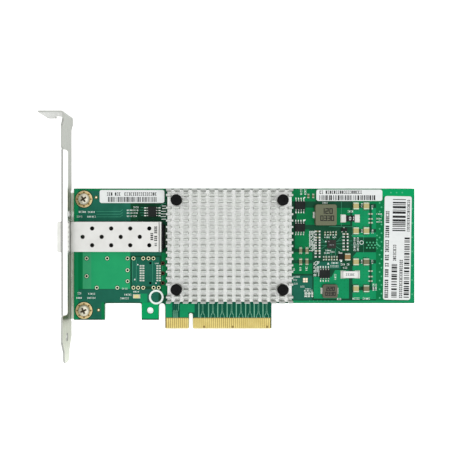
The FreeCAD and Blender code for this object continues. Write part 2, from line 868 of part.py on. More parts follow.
def inductor_body(place, size):
    """Pressed ferrite block with rounded upright corners."""
    half_x = size[0] / 2
    half_y = size[1] / 2
    corners = rectangle((place[0] - half_x, place[0] + half_x), (place[1] - half_y, place[1] + half_y),
                        inductor_corner_radius)
    return plate(corners, (inductor_standoff, size[2]), corner_chord_count)


def inductor_clips(place, size):
    """Terminal clip on each end of an inductor: up the wall and out on the board."""
    clips = []
    for side in (-1, 1):
        wall = place[0] + side * size[0] / 2
        corners = [
            (wall, 0, 0),
            (wall + side * (inductor_clip_sheet + inductor_clip_foot), 0, 0),
            (wall + side * (inductor_clip_sheet + inductor_clip_foot), inductor_clip_sheet, 0),
            (wall + side * inductor_clip_sheet, inductor_clip_sheet, 0),
            (wall + side * inductor_clip_sheet, inductor_clip_height, 0),
            (wall, inductor_clip_height, 0),
        ]
        face = outline_face(corners, lambda u, v: Vector(u, place[1] - inductor_clip_width / 2, v))
        clips.append(face.extrude(Vector(0, inductor_clip_width, 0)))
    return clips


def two_ended_part(place, size, end, body_width):
    """Body and two end caps of a part that lies along x."""
    half = size[0] / 2
    body = centred_block(place, (size[0] - 2 * end, body_width, size[2]))
    caps = [
        block((place[0] + low, place[0] + low + end),
              (place[1] - size[1] / 2, place[1] + size[1] / 2), (0, size[2]))
        for low in (-half, half - end)
    ]
    return body, caps


def chip_parts(places, size, along_y):
    """Bodies and end caps of equal chip parts; they lie along y, or along x."""
    length, width, height, end = size
    bodies = []
    caps = []
    for x, y in places:
        body, ends = two_ended_part((x, y), (length, width, height), end, width)
        if along_y:
            for shape in [body] + ends:
                shape.rotate(Vector(x, y, 0), Vector(0, 0, 1), 90)
        bodies.append(body)
        caps += ends
    return bodies, caps


def small_transistor():
    """Three-lead transistor package."""
    x, y = transistor_place
    body = centred_block(transistor_place, transistor_size, so8_standoff)
    leads = []
    half = transistor_lead_width / 2
    for side, offset in ((-1, -transistor_lead_spread), (-1, transistor_lead_spread), (1, 0)):
        wall = y + side * transistor_size[1] / 2
        foot = wall + side * transistor_lead_reach
        span = (x + offset - half, x + offset + half)
        leads.append(block(span, sorted((wall, foot)), (0, transistor_lead_height)))
    return body, leads


def diode():
    """Rectifier diode: moulded block with a metal tab at each end."""
    x, y = diode_place
    body = centred_block(diode_place, diode_size, so8_standoff)
    tabs = []
    half = diode_tab_width / 2
    for side in (-1, 1):
        wall = y + side * diode_size[1] / 2
        foot = wall + side * diode_tab_reach
        tabs.append(block((x - half, x + half), sorted((wall, foot)), (0, diode_tab_height)))
    return body, tabs


def label(middle_x, middle_y, length_x, length_y, turn):
    corners = rectangle((middle_x - length_x / 2, middle_x + length_x / 2),
                        (middle_y - length_y / 2, middle_y + length_y / 2), label_corner_radius)
    shape = plate(corners, (0, label_thickness), corner_chord_count)
    shape.rotate(Vector(middle_x, middle_y, 0), Vector(0, 0, 1), turn)
    return shape


def save(name, shapes):
    """Write one node: a solid, or a group of separate solids."""
    solids = []
    for shape in shapes:
        solids += shape.Solids
    shape = solids[0] if len(solids) == 1 else Part.makeCompound(solids)
    shape.exportStep(os.path.join("parts", name + ".step"))


def main():
    os.makedirs("parts", exist_ok=True)
    save("circuit_board", [circuit_board()])
    save("edge_contacts_component_side", edge_contacts((0, contact_thickness), component_side_short_contacts))
    save("edge_contacts_solder_side",
         edge_contacts((-board_thickness - contact_thickness, -board_thickness), solder_side_short_contacts))
    save("bracket", [bracket()])
    save("bracket_screws", [bracket_screw(place) for place in screw_places()])

    save("controller_chip", [controller_chip()])
    save("thermal_pad", [thermal_pad()])
    save("heatsink", [heatsink()])
    save("push_pins", [push_pin(place) for place in pin_places()])
    save("push_pin_springs", [pin_spring(place) for place in pin_places()])

    save("cage_shell", [cage_shell()])
    save("cage_floor", [cage_floor()])
    save("cage_ground_collar", [cage_ground_collar()])
    save("module_connector", [module_connector()])
    save("module_connector_contacts", connector_contacts())

    save("memory_chip", [so8_body(memory_chip_place, False)])
    save("memory_chip_leads", so8_leads(memory_chip_place, False))
    save("power_transistors", [so8_body(place, True) for place in power_transistor_places])
    transistor_leads = []
    for place in power_transistor_places:
        transistor_leads += so8_leads(place, True)
    save("power_transistor_leads", transistor_leads)

    package = centred_block(controller_place, (controller_size, controller_size, controller_height))
    save("power_controller", [package])
    save("large_inductor", [inductor_body(large_inductor_place, large_inductor_size)])
    save("small_inductor", [inductor_body(small_inductor_place, small_inductor_size)])
    clips = inductor_clips(large_inductor_place, large_inductor_size)
    clips += inductor_clips(small_inductor_place, small_inductor_size)
    save("inductor_clips", clips)

    body, ends = two_ended_part(sense_resistor_place, sense_resistor_size, sense_resistor_end,
                                sense_resistor_body_width)
    save("sense_resistor", [body])
    save("sense_resistor_ends", ends)
    body, ends = two_ended_part(fuse_place, fuse_size, fuse_end, fuse_size[1])
    save("fuse", [body])
    save("fuse_ends", ends)
    body, leads = small_transistor()
    save("small_transistor", [body])
    save("small_transistor_leads", leads)
    body, tabs = diode()
    save("rectifier_diode", [body])
    save("rectifier_diode_tabs", tabs)
    body, ends = two_ended_part(status_lamp_place, status_lamp_size, status_lamp_end, status_lamp_size[1])
    save("status_lamp", [body])
    save("status_lamp_ends", ends)

    bank = [(x, y) for x in bank_columns for y in bank_rows] + [input_capacitor_place]
    bodies, ends = chip_parts(bank, large_capacitor_size, True)
    save("large_capacitors", bodies)
    save("large_capacitor_ends", ends)
    medium = [(x, y) for x in medium_capacitor_columns for y in medium_capacitor_rows]
    bodies, ends = chip_parts(medium, medium_capacitor_size, True)
    small_bodies, small_ends = chip_parts(small_capacitor_places, small_capacitor_size, True)
    save("medium_capacitors", bodies + small_bodies)
    save("medium_capacitor_ends", ends + small_ends)

    save("left_label", [label(*left_label)])
    save("right_label", [label(*right_label)])
    save("long_label", [label(*long_label)])


main()
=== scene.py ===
import math
import random

import bpy
import bmesh
from mathutils import Matrix, Vector


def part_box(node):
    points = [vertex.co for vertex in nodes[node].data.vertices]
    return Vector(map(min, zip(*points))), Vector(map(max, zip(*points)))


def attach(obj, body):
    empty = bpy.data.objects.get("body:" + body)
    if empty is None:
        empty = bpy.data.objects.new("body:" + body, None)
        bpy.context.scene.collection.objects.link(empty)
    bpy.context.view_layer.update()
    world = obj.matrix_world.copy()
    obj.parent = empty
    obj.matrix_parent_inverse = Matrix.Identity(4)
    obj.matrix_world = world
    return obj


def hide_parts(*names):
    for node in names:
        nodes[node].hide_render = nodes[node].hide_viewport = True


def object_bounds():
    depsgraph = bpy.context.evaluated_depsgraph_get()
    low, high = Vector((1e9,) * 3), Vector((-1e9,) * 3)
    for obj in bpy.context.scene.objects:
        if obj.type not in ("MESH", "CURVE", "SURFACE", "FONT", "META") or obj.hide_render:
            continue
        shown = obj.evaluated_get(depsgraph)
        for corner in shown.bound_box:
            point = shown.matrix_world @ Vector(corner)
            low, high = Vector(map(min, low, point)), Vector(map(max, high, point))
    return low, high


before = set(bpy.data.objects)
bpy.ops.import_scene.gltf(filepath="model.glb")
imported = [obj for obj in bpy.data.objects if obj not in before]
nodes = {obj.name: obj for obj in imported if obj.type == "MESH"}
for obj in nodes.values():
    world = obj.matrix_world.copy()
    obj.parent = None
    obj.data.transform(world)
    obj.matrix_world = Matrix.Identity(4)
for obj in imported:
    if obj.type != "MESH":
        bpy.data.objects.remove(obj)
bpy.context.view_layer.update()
scene = bpy.context.scene

MM = 0.001
ROOT = "root"


# ---------------------------------------------------------------- tools for materials

CLOUD_LOW, CLOUD_HIGH = 0.3, 0.7  # nearly all of a cloud's values lie between these
UPWARD = ("Normal", "Z", "GREATER_THAN", 0.5)  # holds on faces that look up


def colour(code):
    """Linear colour of an sRGB hex code."""
    channels = [int(code[i:i + 2], 16) / 255 for i in (0, 2, 4)]
    return tuple(c / 12.92 if c <= 0.04045 else ((c + 0.055) / 1.055) ** 2.4 for c in channels) + (1.0,)


def add_node(tree, kind, inputs=None, **settings):
    """New node; each input is a value, or the output that feeds it."""
    node = tree.nodes.new(kind)
    for key, value in settings.items():
        setattr(node, key, value)
    for key, value in (inputs or {}).items():
        if isinstance(value, bpy.types.NodeSocket):
            tree.links.new(value, node.inputs[key])
        else:
            node.inputs[key].default_value = value
    return node


def surface(name, base, **settings):
    """Material with one Principled shader; returns it, its node tree and the shader."""
    made = bpy.data.materials.new(name)
    made.use_nodes = True
    tree = made.node_tree
    tree.nodes.clear()
    shader = add_node(tree, "ShaderNodeBsdfPrincipled", {"Base Color": colour(base)})
    for key, value in settings.items():
        shader.inputs[key.replace("_", " ")].default_value = value
    add_node(tree, "ShaderNodeOutputMaterial", {"Surface": shader.outputs["BSDF"]})
    return made, tree, shader


def cloud(tree, size_mm, stretch=(1, 1, 1), detail=2.0, rough=0.5):
    """Cloudy pattern with patches about size_mm across, longer along an axis whose stretch is small."""
    place = add_node(tree, "ShaderNodeTexCoord")
    scaled = add_node(tree, "ShaderNodeVectorMath", {0: place.outputs["Object"], 1: stretch},
                      operation="MULTIPLY")
    return add_node(tree, "ShaderNodeTexNoise", {
        "Vector": scaled.outputs[0], "Scale": 1 / (size_mm * MM), "Detail": detail, "Roughness": rough,
    }).outputs["Fac"]


def coats(tree, ground, *over):
    """Colour of ground with the (mask, colour) pairs of over laid on it in turn."""
    for mask, coat in over:
        ground = add_node(tree, "ShaderNodeMix", {"Factor": mask, "A": ground, "B": coat},
                          data_type="RGBA").outputs["Result"]
    return ground


def mottled(tree, first, second, size_mm, stretch=(1, 1, 1), detail=3.0):
    """Colour that wanders from first to second in patches about size_mm across."""
    share = add_node(tree, "ShaderNodeMapRange", {
        "Value": cloud(tree, size_mm, stretch, detail), "From Min": CLOUD_LOW, "From Max": CLOUD_HIGH})
    return coats(tree, colour(first), (share.outputs["Result"], colour(second)))


def where(tree, *tests):
    """Product of (source, axis, operation, limits) tests of the 'Normal' or of the 'Object' place; a
    comparison is 1 where it holds and 0 elsewhere."""
    mask = 1.0
    for source, axis, operation, *limits in tests:
        kind = "ShaderNodeNewGeometry" if source == "Normal" else "ShaderNodeTexCoord"
        parts = add_node(tree, "ShaderNodeSeparateXYZ", {"Vector": add_node(tree, kind).outputs[source]})
        test = add_node(tree, "ShaderNodeMath", dict(enumerate([parts.outputs[axis]] + limits)),
                        operation=operation)
        mask = add_node(tree, "ShaderNodeMath", {0: mask, 1: test.outputs[0]},
                        operation="MULTIPLY").outputs[0]
    return mask


def worked(tree, shader, skin, grain, height_mm, strength, rough=None, gloss=None):
    """Gives the shader its skin colour and a grain of height_mm; its roughness runs between the two values of
    rough with gloss, or else with the grain."""
    tree.links.new(skin, shader.inputs["Base Color"])
    bump = add_node(tree, "ShaderNodeBump", {
        "Height": grain, "Strength": strength, "Distance": height_mm * MM})
    tree.links.new(bump.outputs["Normal"], shader.inputs["Normal"])
    if rough:
        matt = add_node(tree, "ShaderNodeMapRange", {
            "Value": gloss or grain, "From Min": CLOUD_LOW, "From Max": CLOUD_HIGH,
            "To Min": rough[0], "To Max": rough[1]})
        tree.links.new(matt.outputs["Result"], shader.inputs["Roughness"])


# ---------------------------------------------------------------- how each kind of surface is made

def mask_lacquer(name, first, second):
    """Solder mask, flooded on and cured: glossy, and the glass cloth under it ripples its shine."""
    thread_mm = 0.5
    made, tree, shader = surface(name, first, Roughness=0.34, Specular_IOR_Level=0.06)
    cloth = add_node(tree, "ShaderNodeTexVoronoi", {
        "Vector": add_node(tree, "ShaderNodeTexCoord").outputs["Object"], "Scale": 1 / (thread_mm * MM),
        "Randomness": 0.15}, distance="CHEBYCHEV")
    worked(tree, shader, mottled(tree, first, second, 6.0, detail=4.0), cloth.outputs["Distance"],
           0.006, 0.35, (0.28, 0.42), cloud(tree, 1.5))
    return made


def moulded(name, base, lighter, rough=0.5):
    """Moulded plastic or epoxy: a dull, even skin with the mould's spark-eroded grain. The real grain is
    about 0.03 mm; it is drawn at 0.12 mm so that it shows."""
    made, tree, shader = surface(name, base, Roughness=rough, Specular_IOR_Level=0.07)
    worked(tree, shader, mottled(tree, base, lighter, 2.5), cloud(tree, 0.12, detail=1.0), 0.01, 0.5,
           (rough - 0.07, rough + 0.09), cloud(tree, 0.6))
    return made


def plated(name, base, darker, rough, grain=(1, 1, 1), grain_mm=0.5, height_mm=0.002, metal=1.0):
    """Plated or rolled metal: its shine is broken by rolling marks along the axis whose grain is small. Real
    marks are about 0.02 mm wide; they are drawn at grain_mm so that they show."""
    made, tree, shader = surface(name, base, Metallic=metal, Roughness=rough)
    worked(tree, shader, mottled(tree, base, darker, 5.0), cloud(tree, grain_mm, grain, 3.0, 0.6),
           height_mm, 0.6, (rough - 0.06, rough + 0.08))
    return made


def fired(name, base, second, rough=0.45, grain_mm=0.25):
    """Fired powder, and clear or bare resin like it: matt and speckled. Real grains are about 0.02 mm; they
    are drawn at grain_mm so that they show."""
    made, tree, shader = surface(name, base, Roughness=rough, Specular_IOR_Level=0.2)
    worked(tree, shader, mottled(tree, base, second, grain_mm, detail=4.0), cloud(tree, grain_mm * 0.7),
           0.012, 0.5)
    return made


def printed(name, base, second, rough=0.6, grain_mm=0.4):
    """Screen-printed ink or paper: flat, matt and slightly uneven. Real fibres and mesh marks are about
    0.05 mm; they are drawn at grain_mm so that they show."""
    made, tree, shader = surface(name, base, Roughness=rough, Specular_IOR_Level=0.3)
    worked(tree, shader, mottled(tree, base, second, grain_mm), cloud(tree, grain_mm), 0.004, 0.3)
    return made


def board_laminate():
    """Glass-epoxy board: dark lacquer on both faces, pale sawn fibres round its edges and in its holes, and a
    cream bevel at the tips of the contacts."""
    made, tree, shader = surface("board_laminate", "24694A", Roughness=0.36, Specular_IOR_Level=0.06)
    bevel_top, level_enough = 0.9, 0.95
    upright = where(tree, ("Normal", "Z", "ABSOLUTE"))
    face = add_node(tree, "ShaderNodeMath", {0: upright, 1: level_enough}, operation="GREATER_THAN")
    skin = coats(tree, mottled(tree, "3FA878", "8FC79E", 0.4, (1, 1, 6)),
                 (where(tree, ("Object", "Y", "LESS_THAN", bevel_top * MM)),
                  mottled(tree, "F1EBC0", "DDD09A", 0.4, (1, 6, 1))),
                 (face.outputs[0], mottled(tree, "10432C", "164D36", 6.0, detail=4.0)))
    worked(tree, shader, skin, cloud(tree, 0.5), 0.008, 0.4)
    return made


def sawn_aluminium():
    """Extruded aluminium, sawn across into pins: matt tops with painted shade in dark strips along their
    edges, channel floors painted white to lift the shade between the pins (painted light), dull extruded
    walls and sawn ones painted brighter (painted light). Real saw marks are about 0.1 mm apart; they and the
    dark edge strips are drawn at 0.3 to 0.5 mm so that they show."""
    made, tree, shader = surface("sawn_aluminium", "D4D7D2", Metallic=0.08, Roughness=0.5)
    rib_middle, half_rib_pitch, plain_half_width, pin_tops_above = 41.0, 1.512, 0.34, 12.5
    from_middle = where(tree, ("Object", "Y", "SUBTRACT", rib_middle * MM))
    off_rib = add_node(tree, "ShaderNodeMath", {0: from_middle, 1: half_rib_pitch * MM}, operation="PINGPONG")
    # painted shade: dark strips along both edges of each pin top
    painted_edge_shade = add_node(tree, "ShaderNodeMath", {0: off_rib.outputs[0], 1: plain_half_width * MM},
                    operation="GREATER_THAN")
    tops = coats(tree, mottled(tree, "CFD3CE", "C7CBC6", 4.0), (painted_edge_shade.outputs[0], colour("A2A6A1")))
    # painted light: the floors between the pins are white, lighter than the pin tops
    levels = coats(tree, mottled(tree, "FFFFFF", "F9FBF8", 4.0),
                   (where(tree, ("Object", "Z", "GREATER_THAN", pin_tops_above * MM)), tops))
    # painted light: walls facing along x, the sawn ones, are painted brighter than those facing along y
    walls = coats(tree, mottled(tree, "D2D5D0", "BEC1BC", 0.3, (1, 0.1, 1)),
                  (where(tree, ("Normal", "X", "ABSOLUTE")),
                   mottled(tree, "F8FAF6", "ECEEEA", 0.3, (0.1, 1, 1))))
    worked(tree, shader, coats(tree, walls, (where(tree, UPWARD), levels)),
           cloud(tree, 0.5, (1, 0.1, 1), 3.0, 0.6), 0.003, 0.6, (0.42, 0.58))
    return made


def nickel_with_painted_light():
    """Nickel-plated steel sheet of the bracket, with light and shade painted into its colour: a painted
    highlight on the long lip, a dark line of painted shade where the lip bends, the folded inner wall under
    it painted dark olive (painted shade and painted reflection of the green board), lighter towards its ends,
    and the top of the foot painted pale (painted light)."""
    made, tree, shader = surface("nickel_plated_sheet", "A9ABA6", Metallic=1.0, Roughness=0.28)
    lip_underside, lip_middle, lip_half_length, lip_bend_end, foot_top = 15.0, 47.5, 38.95, -59.15, -1.0
    place = add_node(tree, "ShaderNodeSeparateXYZ", {
        "Vector": add_node(tree, "ShaderNodeTexCoord").outputs["Object"]})
    # painted shade and painted reflection of the green board on the inner wall, lighter towards its ends
    wall = colour("7C7F68")
    for start, end, shade in ((66.0, 73.0, "888C83"), (6.0, 2.5, "939885"), (-3.0, -14.0, "B9BFAE")):
        reach = add_node(tree, "ShaderNodeMapRange", {
            "Value": place.outputs["Y"], "From Min": start * MM, "From Max": end * MM})
        wall = coats(tree, wall, (reach.outputs["Result"], colour(shade)))
    lip_and_bend = (("Object", "Z", "GREATER_THAN", lip_underside * MM),
                    ("Object", "Y", "COMPARE", lip_middle * MM, lip_half_length * MM))
    lip = lip_and_bend + (("Object", "X", "GREATER_THAN", lip_bend_end * MM),)
    # painted light on the top of the foot, painted shade in a line at the lip's bend, painted highlight on
    # the lip
    skin = coats(tree, mottled(tree, "A9ABA6", "9EA09B", 5.0),
                 (where(tree, ("Normal", "X", "GREATER_THAN", 0.5)), wall),
                 (where(tree, ("Object", "Z", "LESS_THAN", foot_top * MM), UPWARD), colour("DDE6DA")),
                 (where(tree, *lip_and_bend), colour("6A6B68")), (where(tree, *lip), colour("E9EAE7")))
    worked(tree, shader, skin, cloud(tree, 0.8, (1, 0.08, 1), 3.0, 0.6), 0.0004, 0.5, (0.24, 0.34))
    return made


def cage_floor_sheet():
    """Nickel-plated sheet: pale outside; its inner face is painted dark grey, as painted shade for the dark
    inside the cage.
    """
    made, tree, shader = surface("cage_floor_sheet", "4A4A47", Metallic=0.45, Roughness=0.45)
    # painted shade: the upward inner face is dark grey
    skin = coats(tree, mottled(tree, "BDBDBA", "B0B0AC", 5.0),
                 (where(tree, UPWARD), mottled(tree, "4A4A47", "3C3C39", 5.0)))
    worked(tree, shader, skin, cloud(tree, 0.8, (0.08, 1, 1), 3.0, 0.6), 0.0006, 0.6, (0.38, 0.52))
    return made


# ---------------------------------------------------------------- materials

# Green solder mask: what lies under it sets how light and how blue its green is.
lacquer_bare = mask_lacquer("lacquer_over_laminate", "0A4026", "0F4A2E")  # deep green over plain resin
lacquer_teal = mask_lacquer("lacquer_over_laminate_thin", "195D4A", "216854")  # bluer, where the coat is thin
lacquer_mid = mask_lacquer("lacquer_over_copper", "056F40", "0A7A47")  # full green over copper
lacquer_bright = mask_lacquer("lacquer_over_power_copper", "108958", "16935F")  # lighter over thick copper
lacquer_pale = mask_lacquer("lacquer_over_ground_copper", "26A168", "239B65")  # lightest, a wide plane
lacquer_vivid = mask_lacquer("lacquer_over_edge_copper", "03995A", "09A060")  # strongest green, by the edges
lacquer_deep = mask_lacquer("lacquer_over_rim_copper", "128250", "168856")  # a calm rim beside the bracket
lacquer_cap = mask_lacquer("lacquer_over_via_pads", "57B98C", "4BAE80")  # pale dots, thin over the pads
lacquer_soft = mask_lacquer("lacquer_over_brushed_copper", "3A9F6B", "35986A")  # milky over brushed copper
lacquer_dark = mask_lacquer("lacquer_over_dark_laminate", "083320", "0C3D28")  # nearly black round bare metal
lacquer_trace = mask_lacquer("lacquer_over_traces", "3F9272", "4FA382")  # tracks show as pale lines
lacquer_lane = mask_lacquer("lacquer_over_lane_laminate", "0A523D", "105B46")  # dark ground between the lanes
lacquer_lane_trace = mask_lacquer("lacquer_over_lane_traces", "74B396", "8AC3A6")  # wide tracks, paler still
land_brown = mask_lacquer("brown_vias_and_painted_shadow", "5E4820", "6C5429")  # dark brown, glossy: the land vias' own colour, and painted shadow of the screw head as a thin ring
mark_halo = mask_lacquer("lacquer_round_alignment_mark", "55502A", "5E5A30")  # olive rim of the opening
bare_laminate = fired("bare_glass_epoxy", "9A844C", "8A7642", 0.5, 0.4)  # uncoated, straw brown, dull
laminate = board_laminate()

# Gold over nickel over copper: warm, soft shine.
gold = plated("gold_plating", "D3C37C", "C2B069", 0.3, (1, 0.2, 1), 0.35, 0.001)  # hard gold, brushed
copper_gold = plated("gold_over_copper", "D0BA8A", "C2AA76", 0.38)  # thin gold, so the copper warms it
land_rim = plated("gold_land_rim", "D6C498", "C8B487", 0.36)  # the paler rim of a screw land
mark_cream = plated("gold_alignment_mark", "E9DDB8", "DCCB9C", 0.36)  # a small bright dot
pad_cream = plated("pale_gold_pad", "F3E3CE", "E6CDB2", 0.4, grain_mm=0.3)  # thin gold, almost rose
via_pale = plated("via_plating_under_lacquer", "E2EED0", "D0DFBE", 0.4, grain_mm=0.2)  # greened by lacquer
via_gold = plated("via_plating", "E8EBC6", "D6DCB0", 0.36, grain_mm=0.2)  # straw yellow
via_brown = plated("flux_stained_via", "6A5340", "5C4735", 0.45)  # plating under dried flux

# Nickel and steel: cooler and greyer.
nickel = nickel_with_painted_light()
nickel_cage = plated("nickel_cage_sheet", "D4D4D1", "CCCCC8", 0.34, (0.08, 1, 1), 0.8, 0.0006, 0.45)  # satin
cage_inside = cage_floor_sheet()
screw_metal = plated("nickel_screw", "E8E3D0", "D4CEB9", 0.26, height_mm=0.006, metal=0.35)  # warm and bright
recess_painted_shade = plated("screw_recess", "3E392E", "4C4638", 0.5)  # painted shade: dark flat crosses laid in the screw recesses
spring_sheet = plated("spring_sheet", "D6D7D2", "C8C9C4", 0.32, grain_mm=0.6, height_mm=0.0005)  # bright
contact_metal = plated("contact_plating", "77776F", "5E5E57", 0.4, grain_mm=0.2)  # stamped, dull grey
wire = plated("spring_wire", "C0C0BB", "94948E", 0.28)  # drawn steel wire, bright with dark streaks

# Tin and solder: grey, softly uneven.
tin = plated("tin_plating", "CDCEC9", "B6B7B2", 0.4, grain_mm=0.2)  # dipped leads and caps, satin
solder = plated("solder", "CFD1CC", "B2B5AF", 0.36, grain_mm=0.3)  # flowed joints, a little glossier
pad_tin = plated("tinned_pad", "C4C8C0", "AFB3AA", 0.42, grain_mm=0.3)  # empty pads, levelled and dull
pad_bright = plated("bright_pad", "E0E2DD", "CDD0CA", 0.4, grain_mm=0.3)  # freshly wetted pads, brighter
chip_end = plated("chip_end_plating", "C4D2C0", "ADBBA9", 0.42, grain_mm=0.2)  # dipped, slightly green

# Plastics and epoxies: dark, dull skins.
nylon = moulded("black_nylon", "0A0A0B", "121314", 0.42)  # slightly waxy
housing = moulded("connector_housing", "101113", "1A1B1D", 0.45)  # glass-filled, a little greyer
epoxy = moulded("package_epoxy", "1C1F1E", "272A29", 0.5)  # chip packages, charcoal
epoxy_brown = moulded("controller_epoxy", "2F302D", "3B3A36", 0.5)  # a browner, paler package
pad_soft = moulded("thermal_pad", "8C8F99", "9A9DA6", 0.8)  # filled silicone, matt blue-grey
hole_dark = moulded("painted_hole_shade", "010603", "030A06", 0.85)  # painted shade: black discs laid on the drilled holes, for the dark inside them

# Ferrite, ceramic and resin: pressed or cast, matt and speckled.
ferrite_large = fired("ferrite_large", "646852", "6D715A")  # olive grey
ferrite_small = fired("ferrite_small", "57564A", "615F52")  # browner and darker
ceramic_tan = fired("capacitor_tan", "BCB37F", "AFA672")  # sandy
ceramic_brown = fired("capacitor_brown", "7E7B60", "716D52")  # grey-brown
ceramic_olive = fired("capacitor_olive", "878565", "7A7859")  # greener brown
ceramic_amber = fired("capacitor_amber", "9C7E56", "90724A")  # warm brown
fuse_white = fired("fuse_ceramic", "ECEDEA", "E2E3DF", 0.4)  # near white
resistor_black = fired("resistor_glaze", "0B0C0D", "141516", 0.35)  # black glaze with more shine
lamp_cream = fired("lamp_resin", "E4DB9E", "D8CD8C", 0.3)  # clear yellowish resin, smooth
lamp_amber = fired("lamp_ends", "DDD7BE", "CFC8AC", 0.35)  # paler ends

# Ink and paper: flat and dry.
ink_white = printed("white_legend", "F4F8F5", "E4EEE8")  # epoxy ink, off-white
ink_black = printed("black_print", "121214", "1E1E20", 0.55)  # thermal print at full strength
ink_faded = printed("faded_print", "55585A", "6A6D6E", 0.55)  # the same where it is thin
ink_grey = printed("grey_print", "8E9496", "7F8587", 0.55)  # laser marks
seam_dark = printed("seam_shadow", "4C4C48", "5A5A55", 0.6)  # painted shadow: dark lines for the shaded gaps of folded seams
paper = printed("label_stock", "E9ECEB", "E1E5E4", 0.5, 3.0)  # coated paper, white and smooth

for finish, names in (
    (laminate, "circuit_board"), (gold, "edge_contacts_component_side edge_contacts_solder_side"),
    (nickel, "bracket"), (sawn_aluminium(), "heatsink"), (pad_soft, "thermal_pad"),
    (nickel_cage, "cage_shell"), (cage_inside, "cage_floor"), (spring_sheet, "cage_ground_collar"),
    (housing, "module_connector"), (contact_metal, "module_connector_contacts"),
    (epoxy, "controller_chip memory_chip power_transistors small_transistor rectifier_diode"),
    (epoxy_brown, "power_controller"), (ferrite_large, "large_inductor"), (ferrite_small, "small_inductor"),
    (tin, "memory_chip_leads power_transistor_leads inductor_clips sense_resistor_ends fuse_ends"),
    (tin, "small_transistor_leads rectifier_diode_tabs"), (resistor_black, "sense_resistor"),
    (fuse_white, "fuse"), (lamp_cream, "status_lamp"), (lamp_amber, "status_lamp_ends"),
    (paper, "left_label right_label long_label"),
):
    for node in names.split():
        slots = nodes[node].data.materials
        slots.clear()
        slots.append(finish)


# ---------------------------------------------------------------- tools for meshes, in millimetres

LAYER = 0.016  # thickness of each flat layer
WELD = 0.001  # points nearer than this become one
BOARD_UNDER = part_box("circuit_board")[0].z / MM


def new_object(name, data):
    made = bpy.data.objects.new(name, data)
    scene.collection.objects.link(made)
    return made


def place_piece(name, mesh, replaced=()):
    """Adds a finished mesh as a piece of the card."""
    made = new_object(name, mesh)
    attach(made, ROOT)
    if replaced:
        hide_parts(*replaced)


def rectangle(x0, y0, x1, y1):
    return [(x0, y0), (x1, y0), (x1, y1), (x0, y1)]


def disc(x, y, radius, sides=16):
    turns = [2 * math.pi * step / sides for step in range(sides)]
    return [(x + radius * math.cos(t), y + radius * math.sin(t)) for t in turns]


def ring(x, y, inner, outer, sides=24):
    """Quads of a flat ring."""
    near = disc(x, y, inner, sides)
    far = disc(x, y, outer, sides)
    return [[near[i], far[i], far[(i + 1) % sides], near[(i + 1) % sides]] for i in range(sides)]


def ribbon(points, width):
    """Quads of a track of even width along the points, with square joints."""
    quads = []
    for (x0, y0), (x1, y1) in zip(points, points[1:]):
        length = math.hypot(x1 - x0, y1 - y0)
        ux, uy = (x1 - x0) / length * width / 2, (y1 - y0) / length * width / 2
        quads.append([(x0 - ux + uy, y0 - uy - ux), (x1 + ux + uy, y1 + uy - ux),
                      (x1 + ux - uy, y1 + uy + ux), (x0 - ux - uy, y0 - uy + ux)])
    return quads


def turned_about(outline, x, y, degrees):
    angle = math.radians(degrees)
    c, s = math.cos(angle), math.sin(angle)
    return [(x + (px - x) * c - (py - y) * s, y + (px - x) * s + (py - y) * c) for px, py in outline]


def coated(finish, outlines):
    return [(outline, finish) for outline in outlines]


def boxes(finish, corners):
    """Rectangles of one finish, each given as (x0, y0, x1, y1)."""
    return coated(finish, [rectangle(*box) for box in corners])


def weld(mesh):
    bmesh.ops.remove_doubles(mesh, verts=mesh.verts, dist=WELD * MM)


def thicken(mesh, side=1):
    """Turns flat faces into a thin closed layer whose outer face stays; side is 1 for up, -1 for down."""
    points, faces = mesh.verts[:], mesh.faces[:]
    bmesh.ops.extrude_face_region(mesh, geom=faces, use_keep_orig=True)
    bmesh.ops.translate(mesh, vec=(0, 0, -side * LAYER * MM), verts=points)


def flat_piece(name, shapes, height, side=1):
    """Thin printed or etched layer of (outline, finish) shapes, height above the component face (side 1) or
    below the solder side (side -1)."""
    made = bpy.data.meshes.new(name)
    z = height if side > 0 else BOARD_UNDER - height
    mesh = bmesh.new()
    for outline, finish in shapes:
        if made.materials.find(finish.name) < 0:
            made.materials.append(finish)
        area = sum(a[0] * b[1] - b[0] * a[1] for a, b in zip(outline, outline[1:] + outline[:1]))
        ordered = outline if area * side > 0 else outline[::-1]
        face = mesh.faces.new([mesh.verts.new((x * MM, y * MM, z * MM)) for x, y in ordered])
        face.material_index = made.materials.find(finish.name)
    weld(mesh)
    thicken(mesh, side)
    mesh.to_mesh(made)
    mesh.free()
    place_piece(name, made)


def add_box(mesh, low, high, radius, segments=2):
    """Adds a box with rounded edges."""
    corners = bmesh.ops.create_cube(mesh, size=1.0)["verts"]
    bmesh.ops.scale(mesh, vec=[(b - a) * MM for a, b in zip(low, high)], verts=corners)
    bmesh.ops.translate(mesh, vec=[(a + b) / 2 * MM for a, b in zip(low, high)], verts=corners)
    edges = list({edge for corner in corners for edge in corner.link_edges})
    bmesh.ops.bevel(mesh, geom=edges, offset=radius * MM, segments=segments, profile=0.5, affect="EDGES",
                    clamp_overlap=True)


def loft(mesh, rows):
    """Adds a solid through rows of (x, y, z) points, closed at its first and last row."""
    loops = [[mesh.verts.new((x * MM, y * MM, z * MM)) for x, y, z in row] for row in rows]
    for near, far in zip(loops, loops[1:]):
        for i in range(len(near)):
            j = (i + 1) % len(near)
            mesh.faces.new((near[i], near[j], far[j], far[i]))
    mesh.faces.new(loops[0][::-1])
    mesh.faces.new(loops[-1])


def turned(profile, sides):
    """Solid turned about Z; profile is (radius, height), from the bottom up."""
    mesh = bmesh.new()
    loft(mesh, [[(x, y, height) for x, y in disc(0, 0, radius, sides)] for radius, height in profile])
    return mesh


